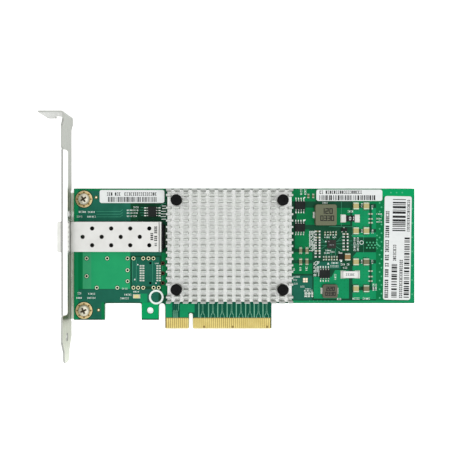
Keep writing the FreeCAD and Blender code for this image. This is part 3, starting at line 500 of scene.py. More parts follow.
def finish_mesh(name, mesh, smooth_degrees=35):
    """Blender mesh from a bmesh, faces outwards, shaded smooth across edges shallower than smooth_degrees."""
    bmesh.ops.recalc_face_normals(mesh, faces=mesh.faces)
    if mesh.calc_volume(signed=True) < 0:  # a very thin disc can come out of that turned inside out
        bmesh.ops.reverse_faces(mesh, faces=mesh.faces)
    for face in mesh.faces:
        face.smooth = True
    for edge in mesh.edges:
        if len(edge.link_faces) != 2 or edge.calc_face_angle(0) > math.radians(smooth_degrees):
            edge.smooth = False
    made = bpy.data.meshes.new(name)
    mesh.to_mesh(made)
    mesh.free()
    return made


def shaped(made, helper):
    """Mesh of an object as its modifier leaves it; then the object and its helper go."""
    graph = bpy.context.evaluated_depsgraph_get()
    mesh = bpy.data.meshes.new_from_object(made.evaluated_get(graph))
    bpy.data.objects.remove(made)
    bpy.data.objects.remove(helper)
    return mesh


def carved(name, body, cutter):
    """Mesh of body with cutter taken out of it."""
    solid = new_object(name, finish_mesh(name + "_body", body))
    tool = new_object(name + "_cutter", finish_mesh(name + "_cutter", cutter))
    step = solid.modifiers.new("cut", "BOOLEAN")
    step.operation = "DIFFERENCE"
    step.solver = "EXACT"
    step.use_self = True
    step.object = tool
    mesh = bmesh.new()
    mesh.from_mesh(shaped(solid, tool))
    weld(mesh)
    return finish_mesh(name, mesh, 32)


# ---------------------------------------------------------------- Geometry Nodes: one part on many places

SIZE_SPREAD = 0.0  # equal parts come from one tool, so none is larger than the next


def part_on_places():
    """Node group that sets a part on each point of the mesh, turned about Z by the point's 'turn', its size
    drawn between 1 - 'Size spread' and 1 + 'Size spread' from a fixed seed."""
    group = bpy.data.node_groups.new("part_on_places", "GeometryNodeTree")
    for name, kind in (("Places", "Geometry"), ("Part", "Object"), ("Finish", "Material"),
                       ("Size spread", "Float")):
        group.interface.new_socket(name, in_out="INPUT", socket_type="NodeSocket" + kind)
    group.interface.new_socket("Parts", in_out="OUTPUT", socket_type="NodeSocketGeometry")
    given = add_node(group, "NodeGroupInput")
    part = add_node(group, "GeometryNodeObjectInfo", {"Object": given.outputs["Part"]})
    turn = add_node(group, "GeometryNodeInputNamedAttribute", {"Name": "turn"}, data_type="FLOAT")
    about_z = add_node(group, "ShaderNodeCombineXYZ", {"Z": turn.outputs["Attribute"]})
    spread = given.outputs["Size spread"]
    least = add_node(group, "ShaderNodeMath", {0: 1.0, 1: spread}, operation="SUBTRACT")
    most = add_node(group, "ShaderNodeMath", {0: 1.0, 1: spread}, operation="ADD")
    size = add_node(group, "FunctionNodeRandomValue", {
        "Min": least.outputs[0], "Max": most.outputs[0], "Seed": 7}, data_type="FLOAT")
    dots = add_node(group, "GeometryNodeMeshToPoints", {"Mesh": given.outputs["Places"]})
    placed = add_node(group, "GeometryNodeInstanceOnPoints", {
        "Points": dots.outputs[0], "Instance": part.outputs["Geometry"],
        "Rotation": about_z.outputs[0], "Scale": size.outputs["Value"]})
    real = add_node(group, "GeometryNodeRealizeInstances", {"Geometry": placed.outputs[0]})
    dressed = add_node(group, "GeometryNodeSetMaterial", {
        "Geometry": real.outputs[0], "Material": given.outputs["Finish"]})
    add_node(group, "NodeGroupOutput", {"Parts": dressed.outputs[0]})
    return group


PLACES = part_on_places()


def repeated(name, part_mesh, places, finish, replaced=()):
    """Piece made of part_mesh at every (x, y, z, turn in degrees)."""
    part = new_object(name + "_part", part_mesh)
    points = bpy.data.meshes.new(name + "_places")
    points.from_pydata([(x * MM, y * MM, z * MM) for x, y, z, _ in places], [], [])
    turns = points.attributes.new("turn", "FLOAT", "POINT")
    turns.data.foreach_set("value", [math.radians(place[3]) for place in places])
    carrier = new_object(name + "_carrier", points)
    step = carrier.modifiers.new("places", "NODES")
    step.node_group = PLACES
    inputs = {socket.name: socket.identifier for socket in PLACES.interface.items_tree}
    step[inputs["Part"]] = part
    step[inputs["Finish"]] = finish
    step[inputs["Size spread"]] = SIZE_SPREAD
    mesh = shaped(carrier, part)
    mesh.name = name
    place_piece(name, mesh, replaced)


def laid(name, outlines, points, finish, lift=0.0, side=1):
    """Piece of one thin part, given by its outlines, at every (x, y), lift above the height of the pads."""
    mesh = bmesh.new()
    for outline in outlines:
        mesh.faces.new([mesh.verts.new((x * MM, y * MM, 0)) for x, y in outline])
    weld(mesh)
    thicken(mesh)
    part = finish_mesh(name + "_shape", mesh)
    height = PAD_HEIGHT + lift
    if side < 0:
        part.transform(Matrix.Diagonal((1, 1, -1, 1)))
        part.flip_normals()
        height = BOARD_UNDER - height
    repeated(name, part, [(x, y, height, 0) for x, y in points], finish)


# ---------------------------------------------------------------- etched copper under the lacquer

COPPER_HEIGHT = 0.02
TRACE_HEIGHT = 0.026
PAD_HEIGHT = 0.034
INK_HEIGHT = 0.044
PITCH = 1.27  # between the leads of the usual eight-lead package

# uncoated bands between the edge contacts, the same on both faces
contact_bands = boxes(bare_laminate, [(-12.5, 0.46, -1.5, 5.5), (1.5, 0.46, 39.1, 5.5)])

copper = contact_bands + coated(lacquer_bright, [
    [(79.4, 35.2), (81.4, 37.6), (90.9, 37.6), (90.9, 33.9), (79.4, 33.9)],
    [(60.3, 25.6), (69.2, 25.6), (70.8, 28.9), (77.6, 28.9), (77.6, 14.9), (60.3, 14.9)]])
for finish, corners in (
    # bracket end
    (lacquer_deep, [(-57.35, 4.6, -55.3, 68.8)]),
    (lacquer_mid, [(-55.3, 67.9, -13.0, 68.8), (-55.3, 19.6, -53.1, 38.0), (-14.4, 16.5, -11.5, 37.4),
                   (-43.9, 4.6, -42.5, 13.0)]),
    (lacquer_teal, [(-55.3, 62.4, -13.0, 67.9), (-55.3, 52.6, -29.6, 62.4), (-29.8, 36.0, -14.6, 38.2),
                    (-29.0, 20.9, -15.4, 35.2), (-55.3, 13.0, -24.9, 19.4), (-24.9, 17.3, -15.9, 19.4),
                    (-21.4, 13.0, -15.9, 17.3), (-55.3, 5.0, -43.9, 13.0)]),
    (lacquer_bare, [(-29.6, 52.6, -26.0, 62.4)]),
    (lacquer_dark, [(-26.0, 52.6, -12.6, 62.2)]),
    (lacquer_soft, [(-53.1, 19.6, -48.9, 38.0)]),
    (lacquer_pale, [(-48.9, 19.6, -29.8, 38.0)]),
    (lacquer_bright, [(-24.9, 13.0, -21.4, 17.3)]),
    # above the edge contacts
    (lacquer_bright, [(-12.4, 5.6, -9.2, 13.6), (-5.4, 5.6, -1.2, 12.4), (-1.2, 8.1, 1.8, 12.4)]),
    (lacquer_lane, [(-9.2, 5.6, -5.4, 13.0), (1.8, 5.6, 39.4, 13.6), (1.2, 5.6, 1.8, 8.1)]),
    # far end: rim, via column and the three power planes
    (lacquer_vivid, [(93.9, 65.0, 109.7, 68.8)]),
    (lacquer_mid, [(61.4, 67.9, 93.9, 68.8), (90.9, 13.9, 95.4, 65.0), (49.2, 62.6, 61.2, 68.6),
                   (56.2, 51.1, 61.3, 59.5), (51.9, 53.2, 56.2, 57.2), (61.3, 51.1, 78.2, 59.4),
                   (51.0, 39.4, 58.2, 48.8), (79.3, 61.4, 90.9, 64.8), (49.2, 33.9, 59.6, 37.6),
                   (49.2, 27.0, 59.6, 32.1)]),
    (lacquer_bright, [(107.2, 12.8, 109.7, 65.0), (49.0, 12.8, 107.2, 13.9), (79.3, 49.1, 87.6, 59.3),
                      (88.8, 49.1, 90.9, 59.3), (79.3, 45.0, 90.9, 47.3), (79.4, 20.8, 87.6, 32.1),
                      (88.8, 20.8, 90.9, 32.1), (79.4, 14.6, 90.9, 19.0)]),
    (lacquer_bare, [(84.6, 38.4, 90.9, 44.4)]),
    (lacquer_teal, [(49.2, 14.2, 59.6, 26.2), (61.8, 29.6, 73.6, 33.0)]),
):
    copper += boxes(finish, corners)


def tab_copper():
    """Copper of the tab beside the contacts, from its plain hole out to a box."""
    x0, y0, half_wide, half_high = -19.975, 9.0, 4.1, 3.95
    hole = disc(x0, y0, 1.75, 24)
    quads = []
    for near, ahead in zip(hole, hole[1:] + hole[:1]):
        quads.append([near, ahead])
        for x, y in (ahead, near):
            reach = max(abs(x - x0) / half_wide, abs(y - y0) / half_high)
            quads[-1].append((x0 + (x - x0) / reach, y0 + (y - y0) / reach))
    return quads


flat_piece("copper_planes", copper + coated(lacquer_vivid, tab_copper()), COPPER_HEIGHT)


def lane_tracks():
    """Lane pairs that run up from the edge contacts, fanned at their ends, between wider ground tracks."""
    tracks = []
    top = 12.6
    for x in (3.9, 8.7, 13.2, 17.8, 22.3, 26.9, 31.1, 35.4):
        tracks += ribbon([(x, 5.8), (x, top)], 0.42)
    for x in (5.8, 10.8, 15.4, 20.0, 24.6, 29.0, 33.2, 37.2):
        for side in (-1, 1):
            fan = [(x + side * off, y) for off, y in ((1.0, 5.4), (0.9, 6.6), (0.3, 7.8), (0.25, 8.6))]
            tracks += ribbon(fan, 0.26) + ribbon([(x + side * 0.22, 8.6), (x + side * 0.22, top)], 0.13)
    for x in (-8.6, -7.6, -6.6):
        tracks += ribbon([(x, 5.4), (x, 8.2), (x + 0.5, 9.4), (x + 0.5, top)], 0.18)
    for x in (-8.1, -7.1):
        tracks += ribbon([(x, 5.4), (x, top)], 0.14)
    return tracks


def bracket_end_tracks():
    """Signal tracks between the screw, the memory chip and the cage."""
    routes = [[(-46.4, y), (-34.6, y), (-33.6, y + 0.9)] for y in (57.6, 56.3, 55.0)]
    routes += [[(x, y), (-22.6, y)] for x, y in ((-24.6, 59.5), (-25.2, 58.3), (-25.0, 57.0), (-24.4, 55.8))]
    routes += [[(x, 23.0), (x, 33.6)] for x in (-26.8, -28.6, -18.8, -13.9)]
    routes += [[(-16.0, 59.5), (-13.4, 61.6), (-12.2, 61.6)], [(-16.0, 56.2), (-13.6, 54.2), (-12.2, 54.2)]]
    return [quad for route in routes for quad in ribbon(route, 0.16)]


def far_end_tracks():
    """Thin tracks and board outlines round the power parts."""
    tracks = []
    for x0, y0, x1, y1 in (
        (73.9, 68.0, 73.9, 50.2), (67.8, 50.2, 79.0, 50.2), (79.3, 50.2, 79.3, 45.6),
        (84.8, 45.6, 84.8, 37.2), (78.8, 45.8, 84.6, 45.8), (76.4, 43.2, 79.2, 43.2),
        (62.8, 45.6, 66.4, 42.0), (71.8, 43.0, 75.2, 46.4), (66.4, 40.8, 62.8, 38.6),
        (66.8, 43.8, 66.8, 45.8), (68.2, 43.8, 68.2, 45.8), (70.2, 43.8, 70.6, 46.2),
        (71.4, 40.4, 74.6, 38.2), (68.9, 39.4, 68.9, 36.0), (67.2, 39.4, 66.6, 36.0),
        (71.0, 39.4, 71.0, 36.0), (78.6, 41.2, 84.4, 41.2), (64.0, 42.6, 66.8, 42.6),
        (64.0, 41.0, 66.8, 41.0), (71.3, 41.8, 74.4, 41.8), (71.3, 42.8, 74.4, 43.8),
    ):
        tracks += ribbon([(x0, y0), (x1, y1)], 0.15)
    return tracks


flat_piece("copper_tracks", coated(lacquer_lane_trace, lane_tracks())
           + coated(lacquer_trace, bracket_end_tracks() + far_end_tracks()), TRACE_HEIGHT)


# ---------------------------------------------------------------- bare metal: screw lands and vias

ABOVE = 0.006  # one layer clear of the next
screw_centres = [(-52.5, 9.0), (-52.5, 63.7)]

lands = []
# painted shadow of the screw head: the thin land_brown ring from 2.85 to 3.05 mm
for x, y in screw_centres:
    for inner, outer, finish in ((1.6, 2.85, land_rim), (2.85, 3.05, land_brown), (3.05, 3.75, copper_gold),
                                 (3.75, 4.1, land_rim), (4.1, 4.5, lacquer_dark)):
        lands += coated(finish, ring(x, y, inner, outer, 40))
flat_piece("screw_lands", lands, PAD_HEIGHT)
land_vias = [spot for x, y in screw_centres for spot in disc(x, y, 3.4, 8)]
laid("screw_land_vias", [disc(0, 0, 0.4, 10)], land_vias, land_brown, ABOVE)

pale_vias = [(-51.2, 34.6), (-41.1, 34.6), (-31.1, 34.6), (-51.2, 25.9), (-31.1, 28.8), (-31.1, 23.4),
             (-46.2, 20.2), (-36.1, 20.2)]
gold_vias = [(-28.2, 34.6), (-23.4, 34.6), (-20.8, 34.6), (-18.4, 34.6), (-28.2, 20.2), (-25.9, 20.2),
             (-23.4, 20.2), (-18.3, 20.2), (-15.8, 20.2)]
copper_vias = [(-13.8, 32.2), (-13.8, 27.3), (-13.8, 22.5)]
through_vias = pale_vias + gold_vias + copper_vias
locating_holes = [(-19.9, 32.3), (-19.9, 22.5)]
laid("via_rings", ring(0, 0, 0.58, 0.9, 12), gold_vias, via_gold)
laid("pale_via_rings", ring(0, 0, 0.58, 0.9, 12), pale_vias, via_pale)
laid("via_clearances", ring(0, 0, 0.86, 1.2, 12), through_vias, lacquer_dark, -ABOVE)
laid("copper_via_rings", ring(0, 0, 0.5, 0.84, 12), copper_vias, via_brown)
# painted shade: black discs over the via and locating holes
laid("via_holes", [disc(0, 0, 0.62, 14)], through_vias, hole_dark, ABOVE)
laid("locating_holes", [disc(0, 0, 0.62)], locating_holes, hole_dark)

alignment = []
for x, y in ((-46.5, 64.55), (-45.3, 9.26)):
    alignment += coated(mark_halo, ring(x, y, 0.45, 0.9, 20)) + [(disc(x, y, 0.45, 20), mark_cream)]
flat_piece("alignment_marks", alignment, PAD_HEIGHT)

# small vias that tie the copper planes together
stitching = [(92.7 + 0.9 * (row % 2), 15.2 + 2.12 * row) for row in range(23)]
stitching += [(91.4, 39.5 + 2.12 * row) for row in range(4)]
stitching += [(86.4 + 1.6 * column + 0.8 * (row % 2), 39.8 + 1.3 * row)
              for row in range(3) for column in range(4)]
stitching += [(x, 66.9) for x in (98.2, 101.0, 103.8)] + [(108.6, 17.0 + 7 * row) for row in range(7)]
laid("stitching_vias", [disc(0, 0, 0.4, 10)], stitching, lacquer_cap)


def power_plane_vias():
    """Lacquered vias scattered evenly over the power planes."""
    chooser = random.Random(11)
    share = 0.8
    places = []
    for x0, y0, x1, y1, step in ((51.6, 39.8, 57.8, 48.4, 1.25), (80.0, 15.4, 90.2, 34.6, 1.6),
                                 (61.0, 15.6, 77.0, 25.0, 1.6), (79.8, 51.0, 90.4, 61.0, 1.6),
                                 (62.0, 51.6, 78.0, 59.0, 1.6), (50.0, 27.6, 59.0, 37.2, 1.5)):
        for row in range(int((y1 - y0) / step) + 1):
            for column in range(int((x1 - x0) / step) + 1):
                if chooser.random() < share:
                    places.append((x0 + step * column, y0 + step * row))
    return places


laid("power_plane_vias", [disc(0, 0, 0.2, 8)], power_plane_vias(), lacquer_mid)


# ---------------------------------------------------------------- chip parts: bodies, wrapped ends and solder

def chip_meshes(name, length, width, height, end):
    """Body and both wrapped ends of a chip part lying along x; the ends stand slightly proud."""
    proud = 0.03
    body = bmesh.new()
    reach = length / 2 - end * 0.6
    half = width / 2 - proud
    add_box(body, (-reach, -half, 0.02), (reach, half, height - 0.02), 0.06, segments=1)
    ends = bmesh.new()
    for side in (-1, 1):
        x = side * (length / 2 - end / 2)
        add_box(ends, (x - end / 2, -width / 2, 0), (x + end / 2, width / 2, height), min(0.12, height / 5))
    return finish_mesh(name + "_body", body), finish_mesh(name + "_end_shapes", ends)


def fillet_mesh(name, length, width, end, reach, rise):
    """Solder that climbs the end faces of a chip part from its pads."""
    mesh = bmesh.new()
    for side in (-1, 1):
        x = side * length / 2
        out = side * (length / 2 + reach)
        inner = side * (length / 2 - end * 0.5)
        # along the solder, from under the part over the climb to the pad: place, height, share of the width
        section = [(inner, 0.0, 1.06), (inner, 0.04, 1.06), (x, rise, 0.96),
                   (x + side * reach * 0.35, rise * 0.45, 1.0), (out, 0.04, 1.04), (out, 0.0, 1.04)]
        loft(mesh, [[(u, half * share, v) for u, v, share in section] for half in (-width / 2, width / 2)])
    return finish_mesh(name + "_fillets", mesh, 60)


def chip_set(name, size, groups, bodies=(), ends=(), end_finish=chip_end):
    """Equal chip parts in groups of (suffix, [(x, y, turn)], finish); bodies and ends name the nodes that
    they replace."""
    length, width, height, end = size
    body, end_shapes = chip_meshes(name, length, width, height, end)
    fillets = fillet_mesh(name, length, width, end, min(0.5, length * 0.18), height * 0.6)
    everywhere = []
    for number, (suffix, places, finish) in enumerate(groups):
        spots = [(x, y, 0, turn) for x, y, turn in places]
        everywhere += spots
        repeated(name + "_" + suffix, body, spots, finish, bodies if number == 0 else ())
    repeated(name + "_ends", end_shapes, everywhere, end_finish, ends)
    repeated(name + "_solder", fillets, everywhere, solder)


def along_y(x, *heights):
    """Places in a column at x, for parts that lie along y."""
    return [(x, y, 90) for y in heights]


def along_x(x, *heights):
    """Places in a column at x, for parts that lie along x."""
    return [(x, y, 0) for y in heights]


chip_set("bank_capacitors", (3.3, 2.7, 2.0, 0.55), [
    ("tan", along_y(80.8, 60.3, 48.2, 33.0, 19.9) + along_y(85.85, 60.3, 48.2), ceramic_tan),
    ("brown", along_y(85.85, 33.0, 19.9), ceramic_brown),
    ("input", along_y(76.7, 35.4), ceramic_amber),
], ("large_capacitors",), ("large_capacitor_ends",))
chip_set("filter_capacitors", (2.9, 1.5, 1.1, 0.45), [
    ("tan", along_y(53.8, 38.5, 33.0) + along_y(56.9, 38.5, 33.0), ceramic_olive),
], ("medium_capacitors",), ("medium_capacitor_ends",))
chip_set("gate_capacitors", (1.9, 1.1, 0.8, 0.35), [
    ("brown", along_y(57.6, 65.2) + along_y(60.0, 65.2), ceramic_brown),
])
chip_set("resistors", (2.2, 0.78, 0.5, 0.58), [
    ("glaze", along_x(62.2, 46.34, 43.55, 42.32, 41.0, 39.67, 37.1, 35.4)
     + along_x(75.97, 45.2, 43.5, 42.0, 40.4), resistor_black),
    ("ceramic", along_x(62.2, 47.86, 44.87, 38.3) + along_x(75.97, 46.6, 38.9), ceramic_brown),
], end_finish=pad_bright)
chip_set("small_chips", (1.6, 0.75, 0.45, 0.45), [
    ("glaze", [(x, 46.9, 90) for x in (67.2, 69.85)] + [(x, 34.7, 90) for x in (65.2, 67.8, 70.4)],
     resistor_black),
    ("ceramic", [(x, 46.9, 90) for x in (65.85, 68.5, 71.2)] + [(x, 34.7, 90) for x in (66.45, 69.1, 71.7)]
     + along_x(88.2, 56.44, 54.0, 52.1, 28.4, 25.7, 23.5), ceramic_brown),
])


# ---------------------------------------------------------------- empty footprints and other pads

pads = boxes(pad_tin, [(x0 + 0.06, 23.4 + 1.2 * row, x1 - 0.06, 24.08 + 1.2 * row) for row in range(7)
                       for x0, x1 in ((-25.2, -24.1), (-23.9, -22.8), (-17.0, -15.9), (-15.7, -14.7))])


def pad(x, y, half_x, half_y, finish):
    pads.extend(boxes(finish, [(x - half_x, y - half_y, x + half_x, y + half_y)]))


for side in (-1, 1):
    for row in range(4):
        off = (row - 1.5) * PITCH
        pad(-18.9 + side * 3.2, 57.5 + off, 0.8, 0.21, pad_bright)  # memory chip
        for x, y in ((53.5, 60.6), (53.4, 49.7), (65.6, 27.0)):  # power transistors
            pad(x + off, y + side * 3.2, 0.22, 0.62, pad_bright)
    for y in (54.2, 26.7):  # sense resistor and fuse
        pad(78.2 + side * 3.5, y, 1.25, 1.95, pad_tin)
    for dy in (-0.56, 0.56):  # a small empty package
        pad(56.2 + side * 0.6, 23.9 + dy, 0.5, 0.46, pad_cream)
pads += boxes(pad_tin, [(55.9 + 1.57 * column, 15.8 + 0.66 * row, 56.9 + 1.57 * column, 16.2 + 0.66 * row)
                        for column in range(3) for row in range(4)] + [(-28.4, 15.0, -24.8, 17.0)])
flat_piece("bare_pads", pads, PAD_HEIGHT)


# ---------------------------------------------------------------- legend ink: short bars in place of words

marks = random.Random(5)


def set_down(strokes, x, y, upright):
    """Rectangles of (x0, y0, x1, y1) strokes moved to (x, y), and turned to read up along y where upright."""
    if upright:
        return [rectangle(x - y1, y + x0, x - y0, y + x1) for x0, y0, x1, y1 in strokes]
    return [rectangle(x + x0, y + y0, x + x1, y + y1) for x0, y0, x1, y1 in strokes]


def legend(x, y, count, height, upright=False, step=0.72):
    """A row of small ink bars from (x, y), read along x, or up along y where upright."""
    strokes = []
    for index in range(count):
        kind = marks.choice(("tall", "pair", "level", "level", "blank" if index % 5 == 4 else "tall"))
        start = index * step
        end = start + step * 0.62
        if kind in ("tall", "pair"):
            strokes.append((start, 0, start + 0.2, height))
        if kind == "tall":
            strokes.append((end - 0.18, 0, end, height * 0.9))
        if kind == "level":
            strokes += [(start, 0, end, height * 0.24), (start, height * 0.72, end, height)]
    return set_down(strokes, x, y, upright)


def slanted(x, y, count):
    """Column of slanted ink bars beside a column of chip parts."""
    down, across, share, length, width = 0.62, (0.0, 0.75, 1.5, 2.2), 0.75, 0.45, 0.27
    angle = math.radians(40)
    along, up = length * math.cos(angle), length * math.sin(angle)
    bars = []
    for index in range(count):
        foot = y + index * down
        for shift in across:
            if marks.random() < share:
                bars += ribbon([(x + shift, foot), (x + shift + along, foot + up)], width)
    return bars


strokes = []
for row in (
    # bracket end
    (-55.0, 57.0, 5, 0.9), (-50.6, 57.0, 5, 0.8), (-56.0, 54.7, 5, 0.8), (-50.8, 54.7, 6, 0.8),
    (-28.2, 59.3, 4, 0.8), (-31.4, 57.9, 8, 0.7), (-31.4, 56.5, 8, 0.7), (-31.4, 55.0, 7, 0.7),
    (-55.6, 17.0, 3, 1.0), (-50.4, 16.8, 5, 0.8), (-56.2, 14.8, 4, 0.8), (-50.9, 14.8, 6, 0.8),
    (-33.8, 19.4, 4, 0.7), (-32.6, 16.4, 5, 0.8), (-34.6, 14.6, 6, 0.8), (-28.2, 17.9, 4, 0.7),
    (-17.6, 31.9, 3, 0.5),
    # power parts
    (54.6, 65.9, 4, 0.9, True), (56.6, 65.9, 4, 0.9, True), (64.6, 61.5, 4, 0.8), (77.0, 57.2, 4, 0.9),
    (84.3, 59.8, 3, 0.7, True), (84.3, 47.2, 3, 0.7, True), (84.3, 32.0, 3, 0.7, True),
    (89.4, 58.8, 3, 0.7, True), (89.6, 46.8, 3, 0.8, True), (89.4, 32.0, 3, 0.7, True),
    (91.2, 56.1, 4, 0.6), (91.2, 53.8, 4, 0.6), (91.2, 52.2, 4, 0.6), (80.8, 38.2, 10, 0.9, True),
    (82.4, 38.2, 10, 0.9, True), (69.0, 31.9, 5, 0.9), (68.4, 30.3, 6, 0.8), (73.6, 31.2, 3, 0.9),
    (76.6, 31.2, 2, 0.9), (74.8, 29.6, 3, 0.8), (71.3, 24.3, 4, 0.8, True), (90.0, 18.8, 5, 0.8, True),
    (91.2, 18.8, 5, 0.7, True), (79.4, 14.4, 5, 0.9), (84.4, 14.4, 5, 0.9), (71.8, 14.2, 3, 0.9),
    (50.2, 25.2, 5, 0.7), (50.2, 23.6, 3, 0.7), (50.6, 21.8, 3, 0.8), (53.8, 20.4, 3, 0.7),
    (55.6, 18.4, 6, 0.7), (55.8, 17.0, 6, 0.7), (55.8, 15.6, 6, 0.7), (56.2, 19.4, 4, 0.5),
    (51.0, 28.6, 2, 0.9, True), (54.2, 28.6, 3, 0.9, True), (57.2, 28.6, 3, 0.9, True),
    (65.6, 44.6, 4, 0.7), (69.6, 44.6, 3, 0.7), (65.4, 36.9, 4, 0.7), (68.6, 37.4, 3, 0.7),
    (66.0, 38.2, 4, 0.6), (73.2, 36.9, 2, 0.8, True),
):
    strokes += legend(*row)
strokes += slanted(58.2, 38.3, 16) + slanted(60.4, 26.0, 12)
strokes += [  # corner marks of the packages
    [(66.0, 42.5), (66.8, 42.8), (66.0, 43.3)], [(66.9, 31.6), (68.0, 31.6), (67.4, 32.6)],
    [(55.3, 64.7), (56.4, 64.7), (55.8, 64.1)], [(55.2, 53.7), (56.5, 53.7), (55.8, 52.8)],
    [(-28.0, 23.9), (-27.2, 23.9), (-27.4, 24.8)]]
strokes += ring(-17.0, 15.6, 2.65, 3.6, 32) + ring(83.8, 42.4, 0.75, 1.0, 20)
strokes += [disc(-26.1, 31.5, 0.32), disc(-17.1, 22.4, 0.3), disc(73.8, 33.2, 0.42)]
strokes += [rectangle(-13.9 - marks.random(), y, -12.2, y + 0.3)
            for y in (60.2, 58.9, 57.6, 56.3, 55.0, 53.7)]
ticks = boxes(lacquer_trace, [(x, 13.2, x + 0.18, 14.1) for x in (58.2, 60.1, 62.0, 63.8, 65.7, 67.4, 69.2)])
flat_piece("legend_ink", coated(ink_white, strokes) + ticks, INK_HEIGHT)


# ---------------------------------------------------------------- print on the labels and the cage

LABEL_TOP = 0.1


def code_bars(x0, y0, x1, y1, along_x, scale=1.0):
    """Plain bars of uneven width that fill a box; they carry no code."""
    bars = []
    place, end = (x0, x1) if along_x else (y0, y1)
    least = 0.1
    while place < end - least:
        stop = min(place + scale * marks.choice((0.26, 0.4, 0.5, 0.75)), end)
        bars.append(rectangle(place, y0, stop, y1) if along_x else rectangle(x0, place, x1, stop))
        place = stop + scale * marks.choice((0.22, 0.3, 0.45, 0.62))
    return bars


def label_line(x, y, count, height, upright=False, step=1.0, gaps=(), weight=1.0):
    """A row of heavy bars in place of a printed line; gaps lists the places left empty."""
    strokes = []
    for index in range(count):
        if index in gaps:
            continue
        start = index * step
        wide = step * 0.7
        end = start + wide
        post = min(0.36 * weight, wide * 0.5)
        rung = height * 0.22 * weight
        kind = marks.choice(("posts", "left", "right", "rungs"))
        strokes += [(start, 0, end, rung), (start, height - rung, end, height)]
        if kind in ("posts", "left"):
            strokes.append((start, rung, start + post, height - rung))
        if kind in ("posts", "right"):
            strokes.append((end - post, rung, end, height - rung))
        if kind == "rungs":
            strokes.append((start + wide * 0.1, height * 0.4, start + wide * 0.9, height * 0.62))
    return set_down(strokes, x, y, upright)


def toned(bars):
    """Print of uneven strength, as a thermal printer leaves it."""
    return [(bar, marks.choice((ink_black, ink_faded, ink_faded))) for bar in bars]


label_print = toned(code_bars(-40.7, 62.3, -16.9, 64.8, True))
label_print += coated(ink_black, label_line(-41.2, 65.4, 8, 1.6, step=0.98, gaps=(3, 7))
                      + label_line(-32.6, 65.4, 16, 1.6))
label_print += toned(code_bars(63.1, 63.2, 90.8, 65.6, True))
label_print += coated(ink_black, label_line(63.2, 66.3, 21, 1.6, gaps=(2,)))
long_print = code_bars(98.8, 48.0, 105.2, 63.8, False, 1.5)
long_print += label_line(107.2, 47.8, 18, 1.3, True, 0.88)
long_print += label_line(97.2, 15.2, 42, 1.8, True, 1.02, (9, 14, 17, 21, 28, 35), 1.35)
long_print += label_line(100.8, 33.4, 9, 1.5, True, 0.9)
long_print += code_bars(98.7, 15.4, 101.4, 32.0, False, 1.2)
long_print += label_line(104.1, 15.2, 20, 1.5, True, 0.95, weight=1.3)
long_print += code_bars(104.8, 15.4, 107.4, 45.6, False, 1.2)
label_print += coated(ink_black, [turned_about(bar, 101.4, 39.7, -0.95) for bar in long_print])
flat_piece("label_print", label_print, LABEL_TOP + 0.012)

cage_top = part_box("cage_shell")[1].z / MM
cage_print = coated(ink_black, label_line(-17.5, 43.8, 4, 1.25, True, 0.92, weight=1.9)
                    + label_line(-15.6, 43.4, 8, 1.35, True, 0.9, (3,), 1.9))
cage_print += coated(ink_faded, label_line(-15.75, 41.0, 2, 1.0, True, 0.95))
flat_piece("cage_print", cage_print, cage_top + 0.012)
# painted shadow: a dark wavy line along the gap between the ground collar and the cage; a line and dots at
# the far end
seams = ribbon([(-56.8, 53.0), (-57.05, 50.2), (-56.7, 46.4), (-57.0, 42.2), (-56.8, 38.0)], 0.34)
seams += [rectangle(-14.82, 38.9, -14.44, 51.7), disc(-14.62, 38.6, 0.34), disc(-14.62, 52.0, 0.3)]
flat_piece("cage_seams", coated(seam_dark, seams), cage_top + 0.014)


# ---------------------------------------------------------------- numbers and marks on the parts

STROKES = {"0": "abcdef", "1": "bc", "2": "abged", "3": "abgcd", "6": "afgedc"}


def digits(text, x, y, height, stroke, gap=0.5):
    """Plain numbers from straight strokes."""
    wide = height * 0.5
    made = []
    for index, digit in enumerate(text):
        left = x + index * (wide + gap)
        right = left + wide
        top, middle = y + height, y + height / 2
        ends = {"a": (left, top, right, top), "b": (right, top, right, middle),
                "c": (right, middle, right, y), "d": (left, y, right, y), "e": (left, y, left, middle),
                "f": (left, middle, left, top), "g": (left, middle, right, middle)}
        for name in STROKES[digit]:
            x0, y0, x1, y1 = ends[name]
            made += ribbon([(x0, y0), (x1, y1)], stroke)
    return made


large_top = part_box("large_inductor")[1].z / MM
small_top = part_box("small_inductor")[1].z / MM
numbers = digits("120", 63.6, 56.6, 2.3, 0.46, 0.8) + digits("0330", 63.1, 53.2, 2.2, 0.42, 0.62)
flat_piece("large_inductor_number", coated(ink_black, numbers), large_top + 0.01)
numbers = digits("220", 66.2, 19.1, 1.7, 0.38, 0.6) + digits("0330", 65.7, 16.7, 1.6, 0.34, 0.5)
flat_piece("small_inductor_number", coated(ink_black, numbers), small_top + 0.01)

sense_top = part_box("sense_resistor")[1].z / MM
fuse_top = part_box("fuse")[1].z / MM
controller_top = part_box("power_controller")[1].z / MM
fuse_print = label_line(75.9, 26.1, 5, 1.2, step=0.9)
fuse_print += [rectangle(73.9, 24.95, 82.5, 25.1), rectangle(73.9, 28.3, 82.5, 28.45),
               rectangle(74.25, 25.0, 74.45, 28.4), rectangle(81.95, 25.0, 82.15, 28.4)]
flat_piece("fuse_print", coated(ink_grey, fuse_print), fuse_top + 0.01)
numbers = digits("0", 77.7, 53.5, 1.4, 0.3) + digits("1", 79.1, 53.5, 1.4, 0.3)
flat_piece("sense_resistor_print", coated(ink_white, numbers), sense_top + 0.01)
controller_mark = [disc(67.6, 42.9, 0.28, 12)] + label_line(68.0, 41.0, 3, 0.5, step=0.8)
flat_piece("controller_mark", coated(ink_grey, controller_mark), controller_top + 0.008)


# ---------------------------------------------------------------- solder side

